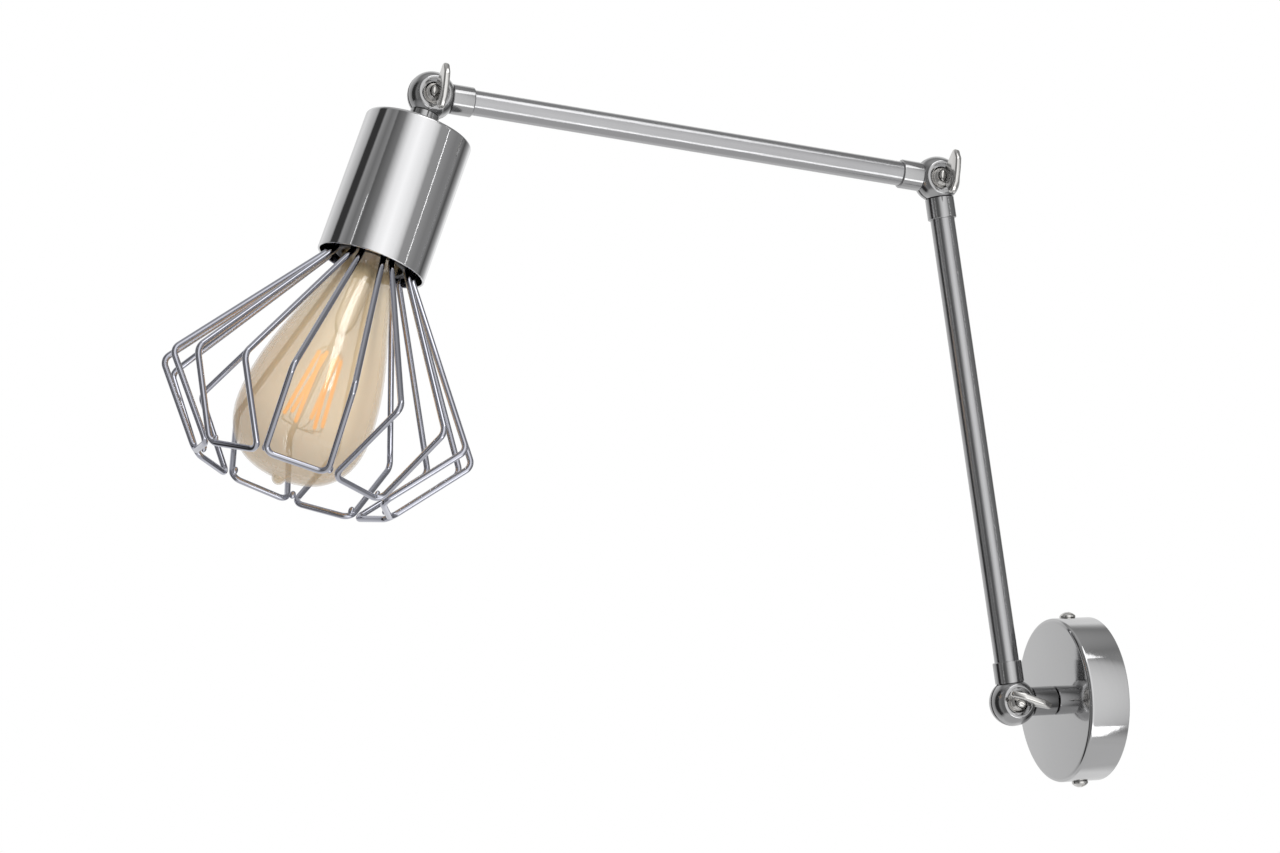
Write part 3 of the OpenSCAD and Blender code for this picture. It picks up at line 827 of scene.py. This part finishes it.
@dataclass
class Knuckle(Assembly):
    """Split ball of two castings, each with a collar, clamped by a thumb screw."""

    ball: float = 0.0115
    split: float = 0.0005
    land_z: float = 0.0082
    recess: float = 0.0067
    recess_floor: float = 0.0045
    shank: float = 0.0025
    collar: float = 0.0071
    root: float = 0.0066
    slip: float = 0.0003
    socket: float = 0.00605
    nipple_socket: float = 0.00505
    socket_depth: float = 0.0075
    nipple_depth: float = 0.006
    arm_reach: float = 0.020
    wall_reach: float = 0.0217
    cup_reach: float = 0.018
    chamfer: float = 0.0006
    lead_way: float = 0.0034
    screw: ThumbScrew = field(default_factory=ThumbScrew)

    def front_ball(self) -> bpy.types.Object:
        """Returns the half ball with its flat land and recess, about the hinge axis."""
        r, z0 = self.ball, self.split
        start = math.degrees(math.asin(z0 / r))
        rim = math.degrees(math.asin((self.land_z - 0.0003) / r))
        land = math.sqrt(r * r - self.land_z ** 2)
        outline = [
            (self.shank, z0), (r - 0.0003, z0), *arc((0, 0), r, start + 1.5, rim, 24),
            (land - 0.0004, self.land_z), (self.recess + 0.0002, self.land_z),
            (self.recess, self.land_z - 0.0002), (self.recess, self.recess_floor),
            (self.shank, self.recess_floor),
        ]
        return Bench.lathe(outline, steps=96)

    def rear_ball(self) -> bpy.types.Object:
        """Returns the plain half ball, about the hinge axis."""
        r, z0 = self.ball, self.split
        start = math.degrees(math.asin(z0 / r))
        outline = [(0.0, -z0), (r - 0.0003, -z0), *arc((0, 0), r, -start - 1.5, -90, 30)]
        return Bench.lathe(outline, steps=96, closed=False)

    def collar_shape(self, reach: float, socket: float, depth: float) -> bpy.types.Object:
        """Returns the collar along its own Z, hollowed to clear the other half's ball.

        Args:
            reach: Distance from the ball's centre to the collar's end.
            socket: Radius of the socket in its end.
            depth: Depth of the socket.
        """
        swept = self.ball + self.slip
        first = math.degrees(math.acos(self.lead_way / swept))
        last = math.degrees(math.acos((self.collar - 0.0003) / swept))
        edge = self.chamfer
        outline = [
            *arc((0, 0), swept, first, last, 8),
            (self.collar, math.sqrt(swept ** 2 - self.collar ** 2) + 0.0002),
            (self.collar, reach - edge), *arc((self.collar - edge, reach - edge), edge, 20, 90, 4),
            (socket, reach), (socket, reach - depth), (self.lead_way, reach - depth),
        ]
        return Bench.lathe(outline, steps=96)

    def root_shape(self, side: int) -> bpy.types.Object:
        """Returns the half-round root that ties the collar to its half ball, along its own X."""
        Bench.pick()
        length = 0.006
        sunk = 0.0052
        start = self.ball - sunk
        bpy.ops.mesh.primitive_cylinder_add(vertices=96, radius=self.root, depth=length)
        rod = bpy.context.object
        Bench.move(rod, Placement(Vector((start + length / 2, 0, 0)), Vector((1, 0, 0)), UP))
        with Bench.editing():
            bpy.ops.mesh.bisect(plane_co=(0, 0, side * self.split), plane_no=(0, 0, side),
                                use_fill=True, clear_inner=True)
            Bench.weld()
        return rod

    def casting(self, side: int, centre: Vector, heading: Vector, reach: float, socket: float,
                depth: float) -> bpy.types.Object:
        """Returns one half of a knuckle in its place.

        Args:
            side: 1 for the front half, with the thumb screw, and -1 for the rear half.
            centre: The ball's centre.
            heading: Direction of the collar.
            reach: Distance from the ball's centre to the collar's end.
            socket: Radius of the socket.
            depth: Depth of the socket.
        """
        ball = self.front_ball() if side > 0 else self.rear_ball()
        Bench.join(ball, self.root_shape(side), Joining.UNITE)
        Bench.move(ball, Placement(centre, FRONT, heading))
        along = Placement(centre, heading, FRONT)
        sleeve = Bench.move(self.collar_shape(reach, socket, depth), along)
        Bench.join(ball, sleeve, Joining.UNITE)
        Bench.smooth(ball, math.radians(28))
        return ball

    def fit_half(self, name: str, body: str, side: int, centre: Vector, heading: Vector,
                 reach: float = arm_reach, socket: float | None = None) -> None:
        """Builds one casting and hangs it on its body in place of its node."""
        bore = socket or self.socket
        depth = self.socket_depth if socket is None else self.nipple_depth
        shape = self.casting(side, centre, heading, reach, bore, depth)
        self.fit(shape, name.replace("half", "casting"), body, "cast_chrome", Finishes.casting,
                 name)

    def fit_screw(self, label: str, body: str, centre: Vector, angle: float) -> None:
        """Builds one thumb screw with its paddle turned to an angle, in degrees from +X."""
        turn = math.radians(angle)
        paddle = Vector((math.cos(turn), 0, math.sin(turn)))
        shape = self.screw.shape(paddle, Placement(centre, FRONT, paddle))
        node = f"{label}_thumb_screw"
        self.fit(shape, f"{label}_thumb_turner", body, "screw_nickel", Finishes.screw, node)

    def build(self) -> None:
        """Builds the six castings and the three thumb screws."""
        bones = self.bones
        lower, upper, shine = bones.lower(), bones.upper(), bones.shine()
        toward_wall = -OUT
        self.fit_half("base_rear_half", "base_turret", -1, bones.base, toward_wall,
                      self.wall_reach, self.nipple_socket)
        self.fit_half("base_front_half", "lower_arm", 1, bones.base, lower)
        self.fit_half("elbow_rear_half", "lower_arm", -1, bones.elbow, -lower)
        self.fit_half("elbow_front_half", "upper_arm", 1, bones.elbow, upper)
        self.fit_half("head_front_half", "upper_arm", 1, bones.head, -upper)
        self.fit_half("head_rear_half", "lamp_head", -1, bones.head, shine, self.cup_reach,
                      self.nipple_socket)
        self.fit_screw("base", "base_screw", bones.base, -20)
        self.fit_screw("elbow", "elbow_screw", bones.elbow, 80)
        self.fit_screw("head", "head_screw", bones.head, 80)

    def dress(self) -> None:
        """Dresses the friction rings, washers, nipples and lock nuts."""
        labels = ("base", "elbow", "head")
        self.paint(Finishes.fibre, *(f"{label}_friction_ring" for label in labels))
        self.paint(Finishes.zinc, *(f"{label}_spring_washer" for label in labels))
        self.paint(Finishes.brass, "base_nipple", "base_lock_nut", "head_nipple", "head_lock_nut")


@dataclass
class Arms(Assembly):
    """Two drawn tubes with the leads inside them."""

    radius: float = 0.006
    wall: float = 0.001
    seat: float = 0.0125

    def build(self) -> None:
        """Builds both tubes."""
        bones = self.bones
        spans = (("lower", bones.base, bones.elbow), ("upper", bones.elbow, bones.head))
        for label, start, end in spans:
            along = (end - start).normalized()
            tube = Bench.lathe(self.section((end - start).length), steps=96)
            finish = Finishes.tube(f"{label}_tube_satin", along)
            self.mount(tube, Placement(start, along, FRONT), f"{label}_arm_pipe", f"{label}_arm",
                       "satin_tube", finish, f"{label}_arm_tube")

    def section(self, span: float) -> Outline:
        """Returns the tube's section along the arm, with its cut ends eased."""
        r, bore, ease = self.radius, self.radius - self.wall, 0.0002
        low, high = self.seat, span - self.seat
        return [
            (bore, low), (r - ease, low), (r, low + ease),
            (r, high - ease), (r - ease, high), (bore, high),
        ]

    def dress(self) -> None:
        """Dresses the leads."""
        self.paint(Finishes.sleeve, "lower_arm_leads", "upper_arm_leads")


@dataclass
class LampCup(Assembly):
    """Lamp cup with the lampholder and its fixings inside."""

    top: float = 0.018
    length: float = 0.070
    radius: float = 0.026
    wall: float = 0.001
    edge: float = 0.0016
    hole: float = 0.0051
    holder: float = 0.0187
    holder_start: float = 0.0504
    holder_end: float = 0.0864
    holder_mouth: float = 0.0149

    def build(self) -> None:
        """Builds the cup and the lampholder's skirt."""
        bones = self.bones
        along = Placement(bones.head, bones.shine(), FRONT)
        self.mount(self.cup(), along, "lamp_cup_shell", "lamp_head", "polished_chrome",
                   Finishes.cup, "lamp_cup")
        self.mount(self.skirt(), along, "holder_skirt", "lamp_head", "black_plastic",
                   Finishes.black, "holder_body")

    def cup(self) -> bpy.types.Object:
        """Returns the spun cup, open at its rim."""
        r, t, e = self.radius, self.wall, self.edge
        low, high = self.top, self.top + self.length
        outline = [
            (self.hole, low + t), (self.hole, low), *arc((r - e, low + e), e, -90, 0, 8),
            *arc((r - t / 2, high - t / 2), t / 2, 0, 180, 8),
            *arc((r - e - t * 0.5, low + e + t * 0.5), e - t * 0.5, 0, -90, 5),
        ]
        return Bench.lathe(outline, steps=160)

    def skirt(self) -> bpy.types.Object:
        """Returns the lampholder's body with a rounded lip and raised rings."""
        r, mouth = self.holder, self.holder_mouth
        low, high = self.holder_start, self.holder_end
        wall = 0.0022
        grip = 0.0004
        outline: list[tuple[float, float]] = [(r - wall, low), (r - grip, low)]
        pitch = 0.0024
        for ring in range(12):
            z = low + 0.002 + ring * pitch
            outline += [(r - grip, z), (r, z + 0.0005), (r, z + 0.0012), (r - grip, z + 0.0017)]
        outline += [
            *arc((r - 0.0012, high - 0.0012), 0.0012, 0, 90, 5),
            *arc((mouth + 0.0008, high - 0.0008), 0.0008, 90, 180, 4),
            (mouth, high - 0.004), (r - wall, high - 0.004),
        ]
        return Bench.lathe(outline, steps=96)

    def dress(self) -> None:
        """Dresses the lampholder's cap, contacts and the cage's plate."""
        self.paint(Finishes.black, "holder_cap")
        self.paint(Finishes.glaze, "holder_contact_block")
        self.paint(Finishes.brass, "holder_screw_shell", "holder_centre_contact")
        self.paint(Finishes.cage, "cage_plate")


@dataclass
class Bulb(Assembly):
    """Pear-shaped clear bulb with its stem, leads and filaments."""

    seat: float = 0.0576
    lean: float = math.radians(3.2)
    lean_at: float = 0.0152
    length: float = 0.143
    radius: float = 0.032
    belly_drop: float = 0.033
    neck: float = 0.0131
    foot: float = 0.025
    glass: float = 0.0008
    tip: float = 0.0032
    stem_top: float = 0.068
    filament: float = 0.0009
    filament_start: float = 0.077
    filament_length: float = 0.034
    ring_top: float = 0.0055
    ring_low: float = 0.0095
    lead: float = 0.0003
    lead_bend: float = 0.0006
    count: int = 6

    def build(self) -> None:
        """Builds the envelope, stem, filaments and their wires."""
        bones = self.bones
        shine = bones.shine()
        along = Matrix.Rotation(self.lean, 3, -FRONT) @ shine
        foot = bones.head + shine * (self.seat + self.lean_at) - along * self.lean_at
        place = Placement(foot, along, Vector((along.z, 0, -along.x)))
        self.mount(self.envelope(), place, "bulb_envelope", "lamp_head", "amber_glass",
                   Finishes.amber, "bulb_glass")
        self.mount(self.stem(), place, "bulb_stem_glass", "lamp_head", "clear_glass",
                   Finishes.stem, "bulb_stem", crease=Bench.SHARP)
        self.build_filaments(place)

    def envelope(self) -> bpy.types.Object:
        """Returns the blown envelope with its wall and tip."""
        r, end = self.radius, self.length
        belly = end - self.belly_drop
        low = end - self.tip - 0.001
        outline = [
            *cubic((self.neck, self.foot), (self.neck + 0.001, self.foot + 0.024),
                   (r, belly - 0.034), (r, belly), 28),
            *cubic((r, belly), (r, belly + 0.016), (r * 0.7, low), (self.tip + 0.0015, low),
                   20)[1:],
            *arc((0.0, end - self.tip), self.tip, 0, 90, 8),
        ]
        skin = Bench.lathe(outline, steps=128, closed=False)
        Bench.modify(skin, "SOLIDIFY", thickness=self.glass, offset=-1.0, use_even_offset=True)
        with Bench.editing():
            Bench.weld()
        return skin

    def stem(self) -> bpy.types.Object:
        """Returns the flared stem with its pinch and exhaust tube."""
        base = self.foot + 0.001
        top = self.stem_top
        flare = self.neck - self.glass - 0.0004
        outline = [
            (0.0, base), (flare, base), (flare, base + 0.001),
            *cubic((flare - 0.0006, base + 0.002), (0.0065, base + 0.005), (0.005, base + 0.009),
                   (0.005, base + 0.014), 8),
            (0.005, top - 0.009), (0.0042, top - 0.006), (0.0030, top - 0.003),
            *arc((0.0, top - 0.0024), 0.0024, 0, 90, 6),
        ]
        return Bench.lathe(outline, steps=48, closed=False)

    def filament_end(self, index: float, ring: float, height: float) -> Vector:
        """Returns a point on a ring of filament ends."""
        turn = math.tau * index / self.count
        return Vector((ring * math.cos(turn), ring * math.sin(turn), height))

    def build_filaments(self, place: Placement) -> None:
        """Builds each filament with its end caps, and the wires that carry them."""
        low = self.filament_start + self.filament_length
        wires: list[bpy.types.Object] = []
        hub = Vector((0, 0, self.stem_top + 0.0006))
        far_hub = Vector((0, 0, low + 0.004))
        lap = 0.001
        for index in range(self.count):
            start = self.filament_end(index, self.ring_top, self.filament_start)
            end = self.filament_end(index + 0.35, self.ring_low, low)
            self.mount(self.rod(start, end), place, f"bulb_filament_{index + 1}", "lamp_head",
                       "filament", Finishes.phosphor, "bulb_filaments")
            along = (end - start).normalized()
            elbow = start * 0.5 + hub * 0.5 + Vector((0, 0, 0.0012))
            far_elbow = end + along * 0.002
            for path in ([hub, elbow, start - along * lap, start + along * lap],
                         [end - along * lap, far_elbow, far_hub]):
                wires.append(Bench.wire(path, self.lead, self.lead_bend, 2))
        Bench.pick(*wires)
        bpy.ops.object.join()
        self.mount(wires[0], place, "bulb_wires", "lamp_head", "zinc_plate", Finishes.zinc,
                   "bulb_support_wires")

    def rod(self, start: Vector, end: Vector) -> bpy.types.Object:
        """Returns one filament with rounded ends, between two points."""
        r = self.filament
        span = (end - start).length
        outline = [*arc((0.0, r), r, -90, 0, 4), *arc((0.0, span - r), r, 0, 90, 4)]
        rod = Bench.lathe(outline, steps=20, closed=False)
        along = (end - start).normalized()
        return Bench.move(rod, Placement(start, along, along.cross(UP).normalized()))

    def dress(self) -> None:
        """Dresses the bulb's cap."""
        self.paint(Finishes.bulb_cap, "bulb_cap")
        self.paint(Finishes.black, "bulb_insulator")
        self.paint(Finishes.zinc, "bulb_contact")


@dataclass
class Cage(Assembly):
    """Nine bent-wire petals, spot-welded together at the open end."""

    count: int = 9
    wire: float = 0.0015
    bend: float = 0.0045
    ring: float = 0.0202
    start: float = 0.0205
    rim: float = 0.088
    waist_drop: float = 0.074
    mouth_drop: float = 0.1085
    waist: float = 0.075
    mouth: float = 0.048
    half_top: float = 0.0051
    half_waist: float = 0.0142
    gap: float = 0.0001
    turn: float = 32.5
    bead: float = 0.0013
    bead_inset: float = 0.0036
    bead_rise: float = 0.0028
    bead_crease: float = math.radians(80)

    def path(self) -> list[Vector]:
        """Returns the corners of one petal's middle line, with the head's axis along Z."""
        half_pitch = math.pi / self.count
        across = self.mouth * math.sin(half_pitch) - (self.wire + self.gap) / math.cos(half_pitch)
        waist_x = math.sqrt(self.waist ** 2 - self.half_waist ** 2)
        mouth_x = self.mouth * math.cos(half_pitch)
        one_side = [
            Vector((self.ring, self.half_top, self.start)),
            Vector((self.ring, self.half_top, self.rim + 0.0005)),
            Vector((waist_x, self.half_waist, self.rim + self.waist_drop)),
            Vector((mouth_x, across, self.rim + self.mouth_drop)),
        ]
        other = [Vector((p.x, -p.y, p.z)) for p in reversed(one_side)]
        return one_side + other

    def build(self) -> None:
        """Builds the petals and the weld beads between them."""
        bones = self.bones
        place = Placement(bones.head, bones.shine(), -FRONT)
        petal = Bench.wire(self.path(), self.wire, self.bend, 5)
        bead = self.weld_bead()
        for index in range(self.count):
            turn = math.radians(self.turn + 360 / self.count * index)
            name = f"cage_petal_{index + 1}"
            self.mount(Bench.copy(petal), self.spun(place, turn), f"cage_wire_{index + 1}",
                       "lamp_head", "cage_wire", Finishes.cage, name)
            between = turn + math.pi / self.count
            self.mount(Bench.copy(bead), self.spun(place, between), f"cage_weld_{index + 1}",
                       "lamp_head", "cage_wire", Finishes.cage, crease=self.bead_crease)
        bpy.data.objects.remove(petal)
        bpy.data.objects.remove(bead)

    @staticmethod
    def spun(place: Placement, turn: float) -> Placement:
        """Returns a place turned about its own Z by an angle in radians."""
        across = Matrix.Rotation(turn, 3, place.z_axis) @ place.x_axis
        return Placement(place.origin, place.z_axis, across)

    def weld_bead(self) -> bpy.types.Object:
        """Returns a small flattened bead where two petals touch at the open end."""
        bead = Bench.lathe(arc((0.0, 0.0), self.bead, -90, 90, 12), steps=24, closed=False)
        height = self.rim + self.mouth_drop - self.bead_rise
        with Bench.editing():
            bpy.ops.transform.resize(value=(0.9, 1.15, 1.5))
            bpy.ops.transform.translate(value=Vector((self.mouth - self.bead_inset, 0, height)))
        return bead


# ---------------------------------------------------------------------------------------------
# Studio
# ---------------------------------------------------------------------------------------------


@dataclass(frozen=True)
class Softbox:
    """A flat soft light in the studio.

    Args:
        name: The light's name.
        side: Angle to the right of the camera, seen from the lamp, in degrees.
        height: Angle above the horizon, in degrees.
        distance: Distance from the lamp.
        size: Width and height.
        radiance: Brightness of its face.
        only: The pieces that it lights, or none for all.
    """

    name: str
    side: float
    height: float
    distance: float
    size: tuple[float, float]
    radiance: float
    only: tuple[str, ...] = ()


@dataclass
class Studio:
    """Pale floor, soft lights, surroundings and the camera."""

    aim: Vector = field(default_factory=lambda: Vector((-0.2267, 0.0, 0.1389)))
    distance: float = 1.6019
    azimuth: float = 19.56
    elevation: float = -6.91
    roll: float = -3.5
    lens: float = 95.0
    sensor: float = 36.0
    floor_drop: float = 0.62
    floor_size: float = 30.0
    steep_from: float = 0.68
    steep_to: float = 0.88
    boxes: tuple[Softbox, ...] = (
        Softbox("overhead", 43.0, 54.0, 1.5, (0.9, 0.55), 1.5),
        Softbox("right_strip", 73.0, 6.0, 1.8, (0.022, 1.5), 2.6),
        Softbox("left_strip", -44.0, 10.0, 1.8, (0.02, 1.5), 1.6),
        Softbox("low_bounce", 40.0, -46.0, 1.5, (0.9, 0.30), 1.6),
        Softbox("window", 33.0, 36.0, 1.5, (0.30, 1.0), 17.0,
                only=("bulb_envelope", "bulb_stem_glass")),
    )

    def forward(self) -> Vector:
        """Returns the direction in which the camera looks."""
        turn, rise = math.radians(self.azimuth), math.radians(-self.elevation)
        level = math.cos(rise)
        return Vector((math.sin(turn) * level, math.cos(turn) * level, math.sin(rise)))

    def camera(self) -> None:
        """Places the camera."""
        data = bpy.data.cameras.new("camera")
        data.lens = self.lens
        data.sensor_width = self.sensor
        camera = bpy.data.objects.new("camera", data)
        bpy.context.scene.collection.objects.link(camera)
        forward = self.forward()
        right = forward.cross(UP).normalized()
        rolled = Matrix.Rotation(math.radians(-self.roll), 3, forward) @ right
        place = Placement(self.aim - forward * self.distance, -forward, rolled)
        camera.matrix_world = place.matrix()
        bpy.context.scene.camera = camera

    def floor(self) -> None:
        """Lays a pale floor below the lamp."""
        Bench.pick()
        place = (self.aim.x, self.aim.y, -self.floor_drop)
        bpy.ops.mesh.primitive_plane_add(size=self.floor_size, location=place)
        ground = bpy.context.object
        ground.name = "studio_floor"
        Moulded("studio_floor", (0.86, 0.86, 0.86), roughness=0.8, grain=60.0).apply(ground)
        ground.visible_glossy = False

    def lights(self) -> None:
        """Hangs the soft lights around the lamp."""
        back = -self.forward()
        back.z = 0.0
        back.normalize()
        for box in self.boxes:
            turned = Matrix.Rotation(math.radians(box.side), 3, UP) @ back
            rise = math.radians(box.height)
            toward = turned * math.cos(rise) + UP * math.sin(rise)
            data = bpy.data.lights.new(box.name, "AREA")
            data.shape = "RECTANGLE"
            data.size, data.size_y = box.size
            data.energy = box.radiance * math.pi * box.size[0] * box.size[1]
            light = bpy.data.objects.new(box.name, data)
            bpy.context.scene.collection.objects.link(light)
            across = UP.cross(toward).normalized()
            place = Placement(self.aim + toward * box.distance, toward, across)
            light.matrix_world = place.matrix()
            light.visible_camera = False
            if box.only:
                lit = bpy.data.collections.new(box.name)
                for piece in box.only:
                    lit.objects.link(bpy.data.objects[piece])
                light.light_linking.receiver_collection = lit

    def surroundings(self) -> None:
        """Sets the pale backdrop and the room that polished metal mirrors."""
        world = bpy.data.worlds.new("studio")
        bpy.context.scene.world = world
        world.use_nodes = True
        tree = world.node_tree
        tree.nodes.clear()
        add, link = tree.nodes.new, tree.links.new
        where = add("ShaderNodeTexCoord").outputs["Generated"]
        parts = add("ShaderNodeSeparateXYZ")
        link(where, parts.inputs[0])
        turn = self.math(tree, "ARCTAN2", parts.outputs["Y"], parts.outputs["X"])
        facing = math.atan2(-self.forward().y, -self.forward().x)
        share = self.math(tree, "MULTIPLY_ADD", turn, 1 / math.tau, 0.5 - facing / math.tau)
        around = self.math(tree, "FRACT", share)
        walls = self.band(tree, around, ROOM_WALLS)
        height = self.math(tree, "MULTIPLY_ADD", parts.outputs["Z"], 0.5, 0.5)
        ceiling = self.band(tree, height, ROOM_HEIGHTS)
        steep = add("ShaderNodeMapRange")
        steep.interpolation_type = "SMOOTHSTEP"
        link(self.math(tree, "ABSOLUTE", parts.outputs["Z"]), steep.inputs["Value"])
        steep.inputs["From Min"].default_value = self.steep_from
        steep.inputs["From Max"].default_value = self.steep_to
        room = add("ShaderNodeMix")
        room.data_type = "RGBA"
        link(steep.outputs["Result"], room.inputs[MIX_FACTOR])
        link(walls, room.inputs[MIX_FIRST])
        link(ceiling, room.inputs[MIX_SECOND])
        mirrored, backdrop = add("ShaderNodeBackground"), add("ShaderNodeBackground")
        mix = add("ShaderNodeMixShader")
        link(room.outputs[MIX_RESULT], mirrored.inputs["Color"])
        backdrop.inputs["Color"].default_value = (1, 1, 1, 1)
        path = add("ShaderNodeLightPath")
        seen = self.math(tree, "MAXIMUM", path.outputs["Is Camera Ray"],
                         path.outputs["Is Transmission Ray"])
        link(seen, mix.inputs[0])
        link(mirrored.outputs[0], mix.inputs[1])
        link(backdrop.outputs[0], mix.inputs[2])
        link(mix.outputs[0], add("ShaderNodeOutputWorld").inputs["Surface"])
        bpy.context.scene.view_settings.view_transform = "Standard"

    @staticmethod
    def math(tree: bpy.types.NodeTree, operation: str, *values: object) -> bpy.types.NodeSocket:
        """Adds a math node and returns its result."""
        node = tree.nodes.new("ShaderNodeMath")
        node.operation = operation
        for socket, value in zip(node.inputs, values):
            if isinstance(value, bpy.types.NodeSocket):
                tree.links.new(value, socket)
            else:
                socket.default_value = value
        return node.outputs[0]

    @staticmethod
    def band(tree: bpy.types.NodeTree, value: bpy.types.NodeSocket,
             stops: Sequence[tuple[float, float]]) -> bpy.types.NodeSocket:
        """Adds a grey ramp with the given stops and returns its colour."""
        node = tree.nodes.new("ShaderNodeValToRGB")
        ramp = node.color_ramp
        for index, (place, grey) in enumerate(stops):
            stop = ramp.elements[index] if index < 2 else ramp.elements.new(place)
            stop.position = place
            stop.color = (grey, grey, grey, 1.0)
        tree.links.new(value, node.inputs[0])
        return node.outputs["Color"]

    def build(self) -> None:
        """Builds the whole studio."""
        self.camera()
        self.floor()
        self.lights()
        self.surroundings()


# Brightness of the room in polished metal: round the lamp from behind it, past the camera at 0.5
ROOM_WALLS = (
    (0.00, 0.75), (0.06, 0.72), (0.105, 0.78), (0.17, 0.54), (0.205, 0.42), (0.222, 0.04),
    (0.28, 0.04), (0.295, 0.32), (0.345, 0.18), (0.385, 0.26), (0.395, 0.11), (0.45, 0.20),
    (0.475, 0.52), (0.51, 0.95), (0.56, 1.15), (0.62, 0.90), (0.645, 0.66), (0.66, 0.32),
    (0.72, 0.30), (0.77, 0.22), (0.82, 0.24), (0.855, 0.08), (0.90, 0.36), (0.95, 0.90),
    (1.00, 0.75),
)

# Brightness of the room above and below the lamp, from straight down to straight up
ROOM_HEIGHTS = (
    (0.00, 0.60), (0.08, 0.62), (0.15, 1.00), (0.26, 0.90), (0.34, 0.60), (0.66, 0.45),
    (0.80, 0.30), (0.92, 0.26), (1.00, 0.50),
)


def main() -> None:
    """Builds every sub-assembly, then the studio."""
    logging.basicConfig(level=logging.INFO, format="%(name)s %(message)s")
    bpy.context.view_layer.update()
    bones = Skeleton.from_frame()
    for kind in (WallMount, Knuckle, Arms, LampCup, Bulb, Cage):
        assembly = kind(bones)
        assembly.build()
        assembly.dress()
    Studio().build()


if __name__ == "__main__":
    main()
